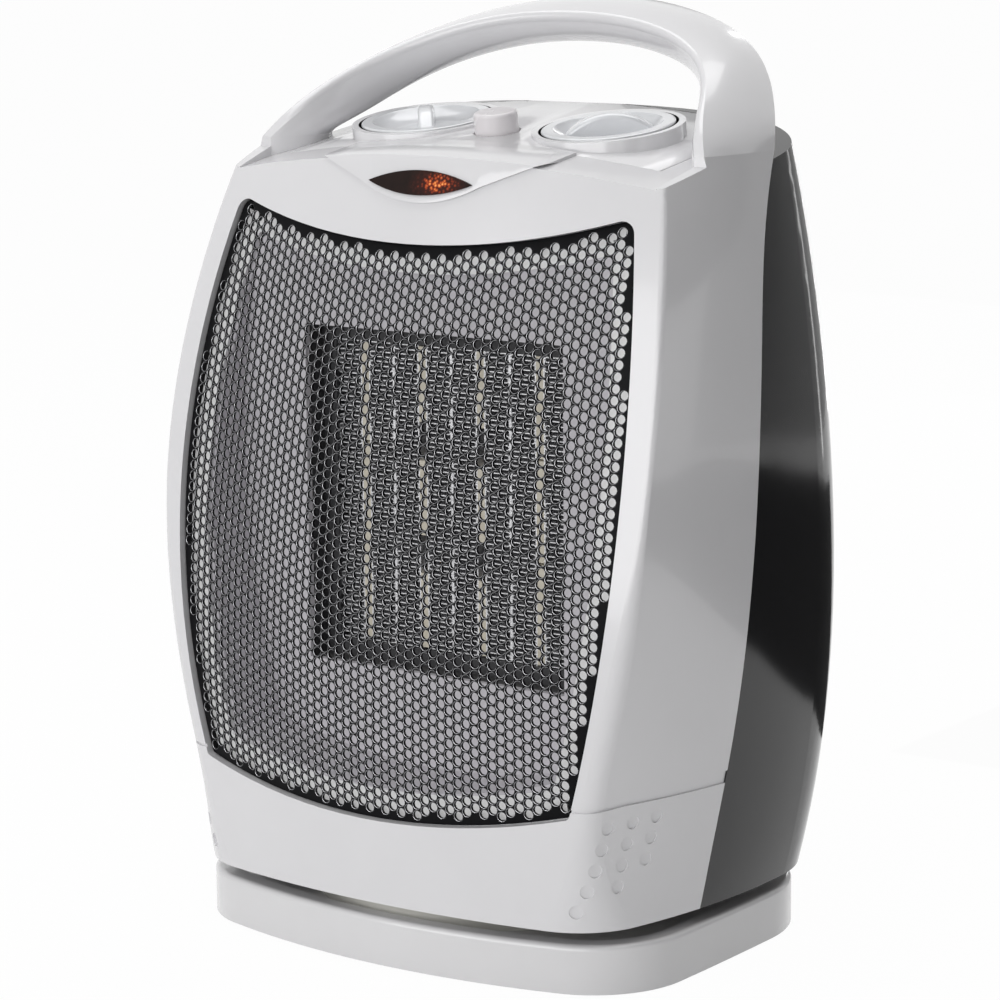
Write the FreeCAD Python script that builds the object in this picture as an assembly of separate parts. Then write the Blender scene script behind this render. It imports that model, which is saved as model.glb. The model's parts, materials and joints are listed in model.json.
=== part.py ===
import FreeCAD, Part
import math
import os

# Oscillating ceramic tower heater. Millimetres, +Z up, front face towards -Y,
# origin on the floor under the middle of the swivel base.

V = FreeCAD.Vector
os.makedirs("parts", exist_ok=True)

# ---------------------------------------------------------------- driving dimensions
WALL = 2.5                # moulded shell wall
FACE_GAP = 0.3            # air between parts that move past each other
RUN_FIT = 0.05            # radial clearance of a shaft or post in its bore
SEAM = 0.15               # visible seam between fitted covers, each side

# swivel base
BASE_HALF_W = 76.0
BASE_HALF_D = 59.0
BASE_FRONT_SAG = 13.7     # how far the front of the base bows forward
BASE_REAR_SAG = 4.0
BASE_SIDE_SAG = 1.1
BASE_FRONT_R = 28.0
BASE_REAR_R = 38.0
BASE_LIFT = 0.8           # skirt above the floor
BASE_RIM_Z = 14.0
BASE_DECK_Z = 11.0        # sunk deck inside the rim
BASE_EDGE_R = 1.6
HEAD_GAP = 4.0            # dark gap between base rim and body

# body barrel: half sizes are parabolas (peak, height of the peak, radius there)
BODY_Z0 = BASE_RIM_Z + HEAD_GAP
CORNER = (79.5, 138.0, 287.0)      # half width at the front corners
SIDE = (85.5, 115.0, 555.0)        # half width at mid depth
FRONT = (61.7, 60.0, 400.0)        # depth in front of the axis
REAR = (64.5, 85.0, 480.0)         # depth behind the axis
FRONT_SAG = 8.0
REAR_SAG = 3.0
SIDE_REAR_DROP = 5.0
SKIRT_FLARE = 11.6        # corners spread towards the bottom edge
SKIRT_H = 40.0
FRONT_CORNER_R = 2.0      # crisp upper front corners
LOW_CORNER_R = 4.0        # added lower down, from LOW_CORNER_Z to the height below
LOW_CORNER_Z = (125.0, 80.0)
SKIRT_CORNER_R = 16.0     # added to the corner radius at the bottom edge
REAR_CORNER_R = 36.0
REAR_CORNER_TAPER = (118.0, 0.00136)   # height it tightens from, loss per square mm above it

# sloping top
TOP_TILT = 9.0            # degrees, rear higher
TOP_CROWN_R = 364.0
TOP_REF_Y = 9.0
TOP_REF_Z = 220.8
BODY_CAP_Z = 232.0        # the barrel is cut by the sloping top below this
REAR_ROUND_R = 10.5       # rolls the top over into the rear wall

# parting line between the pale front shell and the dark rear shell: (y, z)
PARTING = [(-15.0, 18.0), (-10.2, 55.0), (-4.7, 115.0), (1.3, 165.0), (10.0, 200.0), (18.5, 216.0)]

# front opening
OPEN_TOP_HALF_W = 64.5
OPEN_MID_HALF_W = 72.4
OPEN_BOT_HALF_W = 60.5
OPEN_MID_Z = 135.0
OPEN_TOP_Z = 192.3
OPEN_TOP_RISE = 9.4       # corners stand this far above the middle
OPEN_BOT_Z = 41.3
OPEN_BOT_RISE = 7.7
OPEN_CORNER_R = (3.8, 1.6)    # upper and lower corners
MIN_CORNER_R = 0.5
LEDGE_CORNER_R = (12.0, 12.0)  # the ledge fills the opening's corners
GRILLE_T = 0.8
GRILLE_SINK = 1.4         # face of the grille behind the face of the shell
LEDGE_SINK = 4.0          # ledge that the grille's folded rim stands on
LEDGE_T = 1.8
LEDGE_W = 6.5
SLEEVE_T = 1.5            # wall round the opening that carries the ledge

# carry handle
HANDLE_Z = 216.0          # height where the pillars leave the body
HANDLE_FRONT_Y = -11.0
HANDLE_REAR_Y = 18.5
HANDLE_T = 3.0            # outer strap
GRIP_DEPTH = 7.5          # rounded inner cover
HANDLE_RISE = (34.5, 38.0)         # front edge, rear edge
HANDLE_SWEEP = (44.5, 35.5)        # lean to the rear, front edge, rear edge
# shape of each edge from root to crown: (share of half span, of sweep, of rise)
FRONT_EDGE = [(1.0, 0.0, 0.0), (0.923, 0.187, 0.26), (0.802, 0.524, 0.55), (0.611, 0.816, 0.783),
              (0.304, 0.973, 0.957), (0.0, 1.0, 1.0)]
REAR_EDGE = [(1.0, 0.0, 0.0), (0.974, 0.1, 0.158), (0.897, 0.338, 0.355), (0.775, 0.606, 0.579),
             (0.62, 0.789, 0.763), (0.37, 0.93, 0.92), (0.0, 1.0, 1.0)]
HANDLE_STATIONS = 21
HANDLE_NOSE = 0.9         # rounding of the strap's edges
RAMP_TOP_Z = 213.4        # the deck's side edge climbs to each pillar
RAMP_FOOT = (-26.5, 208.9)

# control panel
PANEL_HALF_W = 61.0
PANEL_FRONT_Y = -16.0
PANEL_REAR_Y = 38.0
PANEL_LIP = 3.0
TONGUE_T = 0.8
TONGUE_TOP_HALF_W = 36.0
TONGUE_BOT_HALF_W = 19.0
KNOB_X = 30.4
KNOB_Y = 9.0
KNOB_R = 18.2
KNOB_TOP = 2.3            # ring of the knob above the panel
COLLAR_R = 20.8
COLLAR_TOP = 1.9
KNOB_GAP = 0.7
WELL_DEPTH = 4.0
DISH_R = 14.2
DISH_DEPTH = 3.4
GRIP_LEN = 24.0
GRIP_W = 4.4
GRIP_TOP = 5.4
GRIP_ROUND_R = 1.2
KNOB_TURN = (-54.2, 35.8)     # grip bar of each knob, degrees from the panel's width
SHAFT_R = 3.0
BUTTON_R = 6.0
BUTTON_TOP = 5.6
BUTTON_ROUND_R = 1.0
BUTTON_TRAVEL = 3.0
BUTTON_GAP = 0.5
LENS_HALF_L = 17.0
LENS_HALF_H = 3.2
LENS_Z = 208.1

# heater core
CORE_Z = 121.0
WINDOW_HALF_W = 42.8
WINDOW_HALF_H = 46.5
BAFFLE_Y = -31.0
BAFFLE_T = 2.0
CORE_Y = -22.0            # front of the fins
CORE_DEPTH = 12.0
CORE_MARGIN = 4.5         # frame showing above and below the fins in the window
ROW_PITCH = 19.4
ROW_COUNT = 4
CERAMIC_T = 2.4
TILE_LEN = (27.4, 20.6)   # ceramic tiles of the outer and inner rows
TILE_PITCH = (28.0, 31.2)
SEPARATOR_T = 0.8
FIN_BASE_T = 0.4
FIN_PITCH = 3.0
FIN_T = 1.4               # strip measured across the row, thinner square to the fold
FRAME_REAR_Y = -8.0
FRAME_RIM = 7.0

# air path and fan
DUCT_DEPTH = 16.0
DUCT_WALL = 2.0
FAN_R = 49.0
FAN_TIP_GAP = 1.6
FAN_BLADES = 7
HUB_R = 13.0
FAN_SHAFT_R = 2.5
ROTOR_R = 12.2
AIR_GAP = 0.35
STATOR_W = 58.0
BRACKET_T = 1.5

# swivel
FLOOR_T = 3.0
POST_R = 10.0
BUSH_R = 13.5
BUSH_H = 8.0
GLIDE_R_IN = 45.0
GLIDE_R_OUT = 52.0
CRANK_CENTRE = 24.0       # crank shaft to pivot
SWING_DEG = 35.0          # each way
CRANK_SWING_DEG = 104.0   # each way, turning against the head
CRANK_PIN_R = 2.0
SLOT_CLEAR = 0.5
OSC_MOTOR_R = 17.5
OSC_MOTOR_H = 14.0
OSC_SHAFT_OFFSET = 8.5

# side details
STEP_TOP = [(-60.0, 51.0), (-38.6, 53.7), (20.0, 54.9)]     # (y, z) of the step's upper line, an arc
STEP_FOOT = [(20.0, 52.1), (-44.0, 51.9), (-60.0, 50.5)]
STEP_DEPTH = 0.45
SKIN_POINTS = 800         # steps round the body when its width is read off
DIMPLE_R = 1.9
DIMPLE_DEPTH = 0.4
DIMPLE_ROWS = [3, 3, 3, 2, 1]
DIMPLE_START = (-48.2, 46.4)
DIMPLE_STEP = (7.2, 0.5)
DIMPLE_ROW_STEP = (-1.0, -5.65)

# screws, intake and cable gland
BOSS_R = 4.0
BOSS_H = 14.0
FRONT_BOSS = (48.0, -48.0)
REAR_BOSS = (38.0, 52.0)
SCREW_R = 1.5
SCREW_LEN = 12.0
INTAKE_ROWS = 12
INTAKE_PITCH = 7.2
INTAKE_H = 3.2
INTAKE_HALF_W = 43.0
INTAKE_RIB = 6.0
GLAND_Z = 36.0
GLAND_R = 6.0
GLAND_BORE_R = 3.4
GLAND_IN = 12.0
GLAND_OUT = 5.0

# swivel base details
BASE_WALL = 2.5
BASE_RIM_W = 5.0
BASE_COVER_T = 2.0
FOOT_R = 7.0
FEET = [(52.0, -36.0), (52.0, 38.0)]
BASE_SCREWS = [(62.0, -12.0), (32.0, 46.0)]
POST_TOP_Z = 31.0
POST_FLANGE_R = 16.0
WASHER_R = 13.0
CRANK_SHAFT_R = 2.5
CRANK_HUB_R = 5.5
CRANK_END_R = 4.5
CRANK_Z = (14.5, 17.3)
CRANK_PIN_Z = 11.6
SLOT_PLATE_TOP_Z = 13.8
SLOT_PLATE_HALF_W = 12.0

# motor and its brackets, heights from the fan axis
FAN_Y = (10.3, 21.3)
STATOR_Y = (29.0, 45.0)
STATOR_TOP = 18.0
STATOR_LEG = 10.0
COIL_WINDOW = (-28.0, -17.0)
COIL_HALF_W = 17.0
COIL_T = 4.0
BEARING_R = 5.0
MOTOR_SCREW_X = 22.0

# switches under the panel
SWITCH_HALF = 14.0
SWITCH_H = 18.0
PUSH_FLANGE_R = 8.0
PUSH_BODY_HALF = 9.0

# tip-over switch
TIP_X = 40.0
TIP_Y = (24.0, 40.0)
TIP_PIVOT_Z = 54.0
TIP_ARM = 20.0
TIP_WEIGHT_R = 7.0

tilt = math.radians(TOP_TILT)
top_normal = V(0, -math.sin(tilt), math.cos(tilt))
top_along = V(0, math.cos(tilt), math.sin(tilt))


# ---------------------------------------------------------------- small helpers
def save(name, shape):
    solids = shape.Solids
    kept = solids[0] if len(solids) == 1 else Part.makeCompound(solids)
    kept.exportStep("parts/" + name + ".step")
    box = kept.optimalBoundingBox(False, False)
    print(f"{name:24s} solids {len(solids):3d} valid {kept.isValid()} volume {kept.Volume:10.1f}"
          f"  x {box.XMin:6.1f} {box.XMax:6.1f}  y {box.YMin:6.1f} {box.YMax:6.1f}"
          f"  z {box.ZMin:6.1f} {box.ZMax:6.1f}")
    return kept


def group(shapes):
    return Part.makeCompound(shapes)


def box(x0, x1, y0, y1, z0, z1):
    return Part.makeBox(x1 - x0, y1 - y0, z1 - z0, V(x0, y0, z0))


def tube(r_out, r_in, height, base, axis=V(0, 0, 1)):
    outer = Part.makeCylinder(r_out, height, base, axis)
    if r_in <= 0:
        return outer
    return outer.cut(Part.makeCylinder(r_in, height, base, axis))


def mirrored(shape):
    return shape.mirror(V(0, 0, 0), V(1, 0, 0))


def both_sides(shape):
    return [shape, mirrored(shape)]


def barrel(z, form):
    peak, peak_z, radius = form
    return peak - (z - peak_z) ** 2 / (2 * radius)


def arc(a, b, c):
    return Part.Arc(a, b, c).toShape()


def line(a, b):
    return Part.LineSegment(a, b).toShape()


def circle_through(a, b, c):
    """Centre and radius of the circle through three plan points."""
    d = 2 * (a.x * (b.y - c.y) + b.x * (c.y - a.y) + c.x * (a.y - b.y))
    aa, bb, cc = a.x ** 2 + a.y ** 2, b.x ** 2 + b.y ** 2, c.x ** 2 + c.y ** 2
    x = (aa * (b.y - c.y) + bb * (c.y - a.y) + cc * (a.y - b.y)) / d
    y = (aa * (c.x - b.x) + bb * (a.x - c.x) + cc * (b.x - a.x)) / d
    centre = V(x, y, a.z)
    return centre, (a - centre).Length


def corner_arc(c1, r1, c2, r2, radius, corner):
    """Round the corner where two circles meet: tangent points and middle point."""
    d1, d2 = r1 - radius, r2 - radius
    gap = c2 - c1
    dist = gap.Length
    along = (d1 ** 2 - d2 ** 2 + dist ** 2) / (2 * dist)
    across = math.sqrt(max(d1 ** 2 - along ** 2, 0.0))
    unit = gap * (1 / dist)
    side = V(-unit.y, unit.x, 0)
    foot = c1 + unit * along
    options = [foot + side * across, foot - side * across]
    centre = min(options, key=lambda p: (p - corner).Length)
    t1 = c1 + (centre - c1) * (r1 / d1)
    t2 = c2 + (centre - c2) * (r2 / d2)
    out = (t1 - centre) + (t2 - centre)
    return t1, centre + out * (radius / out.Length), t2


def bowed_outline(front_half_w, half_w, y_front, y_rear, sags, radii, z):
    """Closed plan outline with bowed front, sides and rear and four round corners."""
    front_sag, side_rear_drop, rear_sag = sags
    front_r, rear_r = radii
    front_corner = V(front_half_w, y_front + front_sag, z)
    rear_corner = V(half_w - side_rear_drop, y_rear - rear_sag, z)
    side_mid = V(half_w, (front_corner.y + rear_corner.y) / 2 + side_rear_drop, z)
    c1, r1 = circle_through(V(-front_corner.x, front_corner.y, z), V(0, y_front, z), front_corner)
    c2, r2 = circle_through(front_corner, side_mid, rear_corner)
    c3, r3 = circle_through(rear_corner, V(0, y_rear, z), V(-rear_corner.x, rear_corner.y, z))
    f1, fm, f2 = corner_arc(c1, r1, c2, r2, front_r, front_corner)
    r_a, rm, r_b = corner_arc(c2, r2, c3, r3, rear_r, rear_corner)
    mid = (f2 - c2) + (r_a - c2)
    sm = c2 + mid * (r2 / mid.Length)

    def flip(p):
        return V(-p.x, p.y, p.z)

    edges = [arc(flip(f1), V(0, y_front, z), f1), arc(f1, fm, f2), arc(f2, sm, r_a),
             arc(r_a, rm, r_b), arc(r_b, V(0, y_rear, z), flip(r_b)),
             arc(flip(r_b), flip(rm), flip(r_a)), arc(flip(r_a), flip(sm), flip(f2)),
             arc(flip(f2), flip(fm), flip(f1))]
    return Part.Wire(edges), (c2, r2)


# ---------------------------------------------------------------- body forms
def skirt_share(z):
    return max(0.0, 1 - (z - BODY_Z0) / SKIRT_H) ** 2


def body_section(z, inset):
    share = skirt_share(max(z, BODY_Z0))
    front_half_w = barrel(z, CORNER) + SKIRT_FLARE * share - inset
    low = min(1.0, max(0.0, (LOW_CORNER_Z[0] - z) / (LOW_CORNER_Z[0] - LOW_CORNER_Z[1])))
    front_r = FRONT_CORNER_R + LOW_CORNER_R * low + SKIRT_CORNER_R * share
    rear_r = REAR_CORNER_R - REAR_CORNER_TAPER[1] * max(0.0, z - REAR_CORNER_TAPER[0]) ** 2
    radii = (max(front_r - inset, 1.0), rear_r - inset)
    return bowed_outline(front_half_w, barrel(z, SIDE) - inset, -barrel(z, FRONT) + inset,
                         barrel(z, REAR) - inset, (FRONT_SAG, SIDE_REAR_DROP, REAR_SAG), radii, z)


def body_loft(inset, z_low=BODY_Z0, z_high=BODY_CAP_Z):
    heights = [z_low, 30.0, 44.0, 62.0, 90.0, 125.0, 160.0, 192.0, HANDLE_Z, BODY_CAP_Z]
    heights = [z for z in heights if z <= z_high]
    return Part.makeLoft([body_section(z, inset)[0] for z in heights], True, False)


def front_loft(inset):
    """The body below the handle, for what lies behind the front face."""
    return body_loft(inset, BODY_Z0, HANDLE_Z)


def side_x(y, z):
    """Half width of the body's side at a depth and height."""
    centre, radius = body_section(z, 0.0)[1]
    return centre.x + math.sqrt(radius ** 2 - (y - centre.y) ** 2)


def under_top(sink):
    """Everything under the crowned, sloping top, lowered by sink."""
    length = 400.0
    radius = TOP_CROWN_R - sink
    middle = V(0, TOP_REF_Y, TOP_REF_Z) - top_normal * TOP_CROWN_R
    return Part.makeCylinder(radius, length, middle - top_along * (length / 2), top_along)


def top_z(x, y):
    drop = math.sqrt(TOP_CROWN_R ** 2 - x ** 2) - TOP_CROWN_R
    run = (y - TOP_REF_Y + drop * math.sin(tilt)) / math.cos(tilt)
    return TOP_REF_Z + run * math.sin(tilt) + drop * math.cos(tilt)


def on_panel(shape, x, y):
    """Move a shape drawn on a level panel at the origin onto the sloping one."""
    moved = shape.copy()
    moved.rotate(V(0, 0, 0), V(1, 0, 0), TOP_TILT)
    moved.translate(V(x, y, top_z(x, y)))
    return moved


def side_profile_prism(points, half_w=120.0):
    """Extrude a closed (y, z) polygon across the whole width."""
    corners = [V(-half_w, y, z) for y, z in points]
    face = Part.Face(Part.makePolygon(corners + corners[:1]))
    return face.extrude(V(2 * half_w, 0, 0))


def front_region():
    """Space in front of the parting line."""
    half_w = 120.0
    curve = Part.BSplineCurve()
    curve.interpolate([V(-half_w, y, z) for y, z in PARTING])
    low, high = V(-half_w, PARTING[0][0], 0), V(-half_w, PARTING[-1][0], 300)
    first, last = V(-half_w, *PARTING[0]), V(-half_w, *PARTING[-1])
    edges = [line(low, first), curve.toShape(), line(last, high), line(high, V(-half_w, -150, 300)),
             line(V(-half_w, -150, 300), V(-half_w, -150, 0)), line(V(-half_w, -150, 0), low)]
    return Part.Face(Part.Wire(edges)).extrude(V(2 * half_w, 0, 0))


def opening_prism(grow, y0=-90.0, y1=0.0, corners=OPEN_CORNER_R):
    """The front opening's outline, grown all round, pushed through in depth."""
    top_corner = V(OPEN_TOP_HALF_W + grow, y0, OPEN_TOP_Z + OPEN_TOP_RISE + grow)
    bot_corner = V(OPEN_BOT_HALF_W + grow, y0, OPEN_BOT_Z + OPEN_BOT_RISE - grow)
    mid = V(OPEN_MID_HALF_W + grow, y0, OPEN_MID_Z)
    top_mid = V(0, y0, OPEN_TOP_Z + grow)
    bot_mid = V(0, y0, OPEN_BOT_Z - grow)

    def flip(p):
        return V(-p.x, p.y, p.z)

    edges = [arc(flip(bot_corner), bot_mid, bot_corner), arc(bot_corner, mid, top_corner),
             arc(top_corner, top_mid, flip(top_corner)), arc(flip(top_corner), flip(mid), flip(bot_corner))]
    prism = Part.Face(Part.Wire(edges)).extrude(V(0, y1 - y0, 0))
    if corners is None:
        return prism
    for corner_r, z in zip(corners, (top_corner.z, bot_corner.z)):
        radius = max(corner_r + grow, MIN_CORNER_R)
        uprights = [e for e in prism.Edges if len(e.Vertexes) == 2
                    and all(abs(v.Z - z) < 0.01 for v in e.Vertexes)]
        prism = prism.makeFillet(radius, uprights)
    return prism


def eye_prism(half_l, half_h, y0, y1, z):
    """Pointed oval, seen from the front."""
    left, right = V(-half_l, y0, z), V(half_l, y0, z)
    edges = [arc(left, V(0, y0, z + half_h), right), arc(right, V(0, y0, z - half_h), left)]
    return Part.Face(Part.Wire(edges)).extrude(V(0, y1 - y0, 0))


def panel_prism(grow):
    """The control panel's plan outline with a slightly bowed front."""
    w, y0, y1 = PANEL_HALF_W + grow, PANEL_FRONT_Y - grow, PANEL_REAR_Y + grow
    z = 180.0
    edges = [arc(V(-w, y0 + 3, z), V(0, y0, z), V(w, y0 + 3, z)), line(V(w, y0 + 3, z), V(w, y1, z)),
             line(V(w, y1, z), V(-w, y1, z)), line(V(-w, y1, z), V(-w, y0 + 3, z))]
    return Part.Face(Part.Wire(edges)).extrude(V(0, 0, 70))


def rear_round_cut(sink):
    """What is removed above the rolled rear edge of the top."""
    radius = REAR_ROUND_R - sink
    y0 = PANEL_REAR_Y - 1.5
    z0 = top_z(0, y0) - REAR_ROUND_R
    block = box(-120, 120, y0, y0 + 60, z0, z0 + 60)
    return block.cut(Part.makeCylinder(radius, 260, V(-130, y0, z0), V(1, 0, 0)))


# ---------------------------------------------------------------- carry handle
def handle_edge(shape, root_x, root_y, rise, sweep):
    half = [V(root_x * fx, root_y + sweep * fy, HANDLE_Z + rise * fz) for fx, fy, fz in shape]
    points = half + [V(-p.x, p.y, p.z) for p in reversed(half[:-1])]
    curve = Part.BSplineCurve()
    curve.interpolate(points)
    return curve.toShape().discretize(Number=HANDLE_STATIONS)


def inward(x, z, half_span, rise):
    """Unit vector into the arch of the handle, level at the roots and down at the crown."""
    n = V(-rise * x / half_span, 0, -half_span * (z - HANDLE_Z) / rise)
    return n * (1 / n.Length)


def handle_sections():
    xf, xr = side_x(HANDLE_FRONT_Y, HANDLE_Z), side_x(HANDLE_REAR_Y, HANDLE_Z)
    front = handle_edge(FRONT_EDGE, xf, HANDLE_FRONT_Y, HANDLE_RISE[0], HANDLE_SWEEP[0])
    rear = handle_edge(REAR_EDGE, xr, HANDLE_REAR_Y, HANDLE_RISE[1], HANDLE_SWEEP[1])
    mid_y = (HANDLE_FRONT_Y + HANDLE_REAR_Y) / 2
    crown = side_x(mid_y, HANDLE_Z) - (xf + xr) / 2
    strap, grip = [], []
    for i, (f, r) in enumerate(zip(front, rear)):
        away = min(i, HANDLE_STATIONS - 1 - i) / (HANDLE_STATIONS - 1) * 2
        mid = (f + r) * 0.5
        n = inward(mid.x, mid.z, (xf + xr) / 2, HANDLE_RISE[0])
        if i in (0, HANDLE_STATIONS - 1):
            n = V(-math.copysign(1, mid.x), 0, 0)
        chord = (r - f) * (1 / (r - f).Length)
        nose = chord * (HANDLE_NOSE * min(1.0, away * 5))
        f2, r2 = f + n * HANDLE_T, r + n * HANDLE_T
        front_nose = (f + f2) * 0.5 - nose
        rear_nose = (r + r2) * 0.5 + nose
        ends_in = (arc(r, rear_nose, r2), arc(f2, front_nose, f)) if away > 0 else (line(r, r2), line(f2, f))
        strap.append(Part.Wire([arc(f, mid - n * crown, r), ends_in[0], line(r2, f2), ends_in[1]]))
        depth = (f2 + r2) * 0.5 + n * GRIP_DEPTH
        grip.append((f2, r2, depth))
    return strap, grip


def grip_wire(f2, r2, depth):
    return Part.Wire([line(f2, r2), arc(r2, depth, f2)])


strap_wires, grip_points = handle_sections()
strap = Part.makeLoft(strap_wires, True, False)
grip = Part.makeLoft([grip_wire(*p) for p in grip_points], True, False)


def pillar_stub():
    """The part of a pillar that is still the body's own side, up to where the strap starts."""
    f, r = grip_points[-1][0], grip_points[-1][1]
    if f.x < 0:
        f, r = V(-f.x, f.y, f.z), V(-r.x, r.y, r.z)
    low = HANDLE_Z - 14
    profile = side_profile_prism([(RAMP_FOOT[0], low), RAMP_FOOT, (f.y, RAMP_TOP_Z), (f.y, HANDLE_Z),
                                  (r.y, HANDLE_Z), (r.y, low)])
    flat = [V(f.x, f.y, low), V(r.x, r.y, low)]
    step = (flat[1] - flat[0]) * (1 / (flat[1] - flat[0]).Length)
    a, b = flat[0] - step * 60, flat[1] + step * 60
    inner = Part.makePolygon([a, b, b + V(80, 0, 0), a + V(80, 0, 0), a])
    outside = Part.Face(inner).extrude(V(0, 0, 14))
    return body_loft(0.0).common(profile).common(outside)


def grip_root(points):
    """Straight foot of the grip, down onto the top of the body."""
    f2, r2, depth = points
    drop = V(0, 0, -12)
    foot = Part.Face(grip_wire(f2, r2, depth)).extrude(drop)
    return foot.cut(under_top(0.0))


# ---------------------------------------------------------------- shells
top_cut = rear_round_cut(0.0)
body_outer = body_loft(0.0).common(under_top(0.0)).cut(top_cut)
body_inner = body_loft(WALL, BODY_Z0 - 1.0).common(under_top(WALL)).cut(rear_round_cut(WALL))
hollow = body_outer.cut(body_inner)
front_space = front_region()


def side_step():
    """Shallow sunk band, wider to the rear, that runs back from the opening's lower corners."""
    half_w = 120.0
    top = [V(-half_w, y, z) for y, z in STEP_TOP]
    foot = [V(-half_w, y, z) for y, z in STEP_FOOT]
    edges = [arc(*top), line(top[-1], foot[0]), line(foot[0], foot[1]), line(foot[1], foot[2]), line(foot[2], top[0])]
    band = Part.Face(Part.Wire(edges)).extrude(V(2 * half_w, 0, 0))
    skin = body_loft(-1.0, BODY_Z0 - 1.0).cut(body_loft(STEP_DEPTH))
    return skin.common(band).cut(opening_prism(-1.0))


def skin_x(y, z):
    """Half width of the body at a depth and height, round corners included."""
    outline = body_section(z, 0.0)[0].discretize(Number=SKIN_POINTS)
    return max(a.x + (b.x - a.x) * (y - a.y) / (b.y - a.y)
               for a, b in zip(outline, outline[1:]) if (a.y - y) * (b.y - y) < 0)


def dimple(y, z):
    """Shallow round recess square to the body's side."""
    centre = V(skin_x(y, z), y, z)
    ahead = V(skin_x(y + 1, z), y + 1, z) - centre
    above = V(skin_x(y, z + 1), y, z + 1) - centre
    n = ahead.cross(above)
    n = n * (1 / n.Length)
    return Part.makeCylinder(DIMPLE_R, 4.0, centre - n * DIMPLE_DEPTH, n)


def dimple_field():
    holes = []
    for row, count in enumerate(DIMPLE_ROWS):
        y0 = DIMPLE_START[0] + DIMPLE_ROW_STEP[0] * row
        z0 = DIMPLE_START[1] + DIMPLE_ROW_STEP[1] * row
        holes += [dimple(y0 + DIMPLE_STEP[0] * i, z0 + DIMPLE_STEP[1] * i) for i in range(count)]
    return holes


def screw_boss(x, y, z0, z1):
    """Round boss with a rib out to the front or rear wall."""
    y0, y1 = sorted((y, y + math.copysign(14, y)))
    return Part.makeCylinder(BOSS_R, z1 - z0, V(x, y, z0)).fuse(box(x - 1.5, x + 1.5, y0, y1, z0, z1))


stub = pillar_stub().common(front_space)
handle_outer = strap.fuse(both_sides(stub))
floor_z0 = BODY_Z0 + FACE_GAP
floor_z1 = floor_z0 + FLOOR_T

eye = eye_prism(LENS_HALF_L, LENS_HALF_H, -90.0, -20.0, LENS_Z)
boss_holes = []
bosses = {"front": [], "rear": []}
for side, (x, y) in (("front", FRONT_BOSS), ("rear", REAR_BOSS)):
    for s in (-1, 1):
        boss = screw_boss(s * x, y, floor_z1, floor_z1 + BOSS_H)
        bosses[side].append(boss.common(body_outer))
        boss_holes.append(Part.makeCylinder(SCREW_R, SCREW_LEN, V(s * x, y, floor_z0 - 1)))

ledge_face, ledge_back = front_loft(LEDGE_SINK), front_loft(LEDGE_SINK + LEDGE_T)
low_sides = box(-120, 120, -46, 0, 0, 90)
sleeve = opening_prism(SLEEVE_T).cut(opening_prism(0.0)).common(body_loft(WALL / 2)).cut(ledge_back).cut(low_sides)
ledge = opening_prism(0.0).cut(opening_prism(-LEDGE_W, corners=LEDGE_CORNER_R)).common(ledge_face).cut(ledge_back).cut(low_sides)
front_shell = hollow.common(front_space).cut(opening_prism(0.0)).cut(panel_prism(SEAM)).fuse([sleeve, ledge])
front_shell = front_shell.cut(side_step()).cut(eye)
front_shell = front_shell.cut(group([d for hole in dimple_field() for d in both_sides(hole)]))
front_shell = front_shell.fuse([handle_outer] + bosses["front"]).cut(group(boss_holes))
save("front_shell", front_shell)

handle_grip = grip.fuse([grip_root(grip_points[0]), grip_root(grip_points[-1])])
save("handle_grip", handle_grip)


def stadium(x0, x1, z0, z1, y0, y1):
    r = (z1 - z0) / 2
    mid = (z0 + z1) / 2
    edges = [line(V(x0 + r, y0, z0), V(x1 - r, y0, z0)),
             arc(V(x1 - r, y0, z0), V(x1, y0, mid), V(x1 - r, y0, z1)),
             line(V(x1 - r, y0, z1), V(x0 + r, y0, z1)),
             arc(V(x0 + r, y0, z1), V(x0, y0, mid), V(x0 + r, y0, z0))]
    return Part.Face(Part.Wire(edges)).extrude(V(0, y1 - y0, 0))


def intake_slots():
    slots = []
    for row in range(INTAKE_ROWS):
        z0 = CORE_Z + (row - (INTAKE_ROWS - 1) / 2) * INTAKE_PITCH - INTAKE_H / 2
        for x0 in (-INTAKE_HALF_W, INTAKE_RIB / 2):
            slots.append(stadium(x0, x0 + INTAKE_HALF_W - INTAKE_RIB / 2, z0, z0 + INTAKE_H, 45.0, 90.0))
    return slots


rear_wall_y = barrel(GLAND_Z, REAR)
gland_hole = Part.makeCylinder(GLAND_R, 40, V(0, rear_wall_y - 20, GLAND_Z), V(0, 1, 0))
rear_shell = hollow.cut(front_space).cut(panel_prism(SEAM)).cut(group(intake_slots()))
rear_shell = rear_shell.cut(handle_outer).fuse(bosses["rear"]).cut(group(boss_holes)).cut(gland_hole)
save("rear_shell", rear_shell)

gland = Part.makeCylinder(GLAND_R, GLAND_IN, V(0, rear_wall_y - GLAND_IN, GLAND_Z), V(0, 1, 0))
gland = gland.fuse(Part.makeCylinder(GLAND_R, GLAND_OUT, V(0, rear_wall_y, GLAND_Z), V(0, 1, 0)))
collar = Part.makeCylinder(GLAND_R + 2, GLAND_OUT, V(0, rear_wall_y - 1, GLAND_Z), V(0, 1, 0)).cut(body_outer)
gland = gland.fuse(collar).cut(Part.makeCylinder(GLAND_BORE_R, 60, V(0, rear_wall_y - 30, GLAND_Z), V(0, 1, 0)))
save("cable_gland", gland)

# ---------------------------------------------------------------- control panel
plate = hollow.common(panel_prism(-SEAM)).common(box(-100, 100, -100, 100, 195, 240))
lip = under_top(WALL).cut(under_top(WALL + 2)).common(panel_prism(PANEL_LIP)).cut(panel_prism(-2.0))
lip = lip.common(body_inner)
collar_bottom = -WELL_DEPTH - 2.0
boss_r = BUTTON_R + BUTTON_GAP + 3.0


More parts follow.
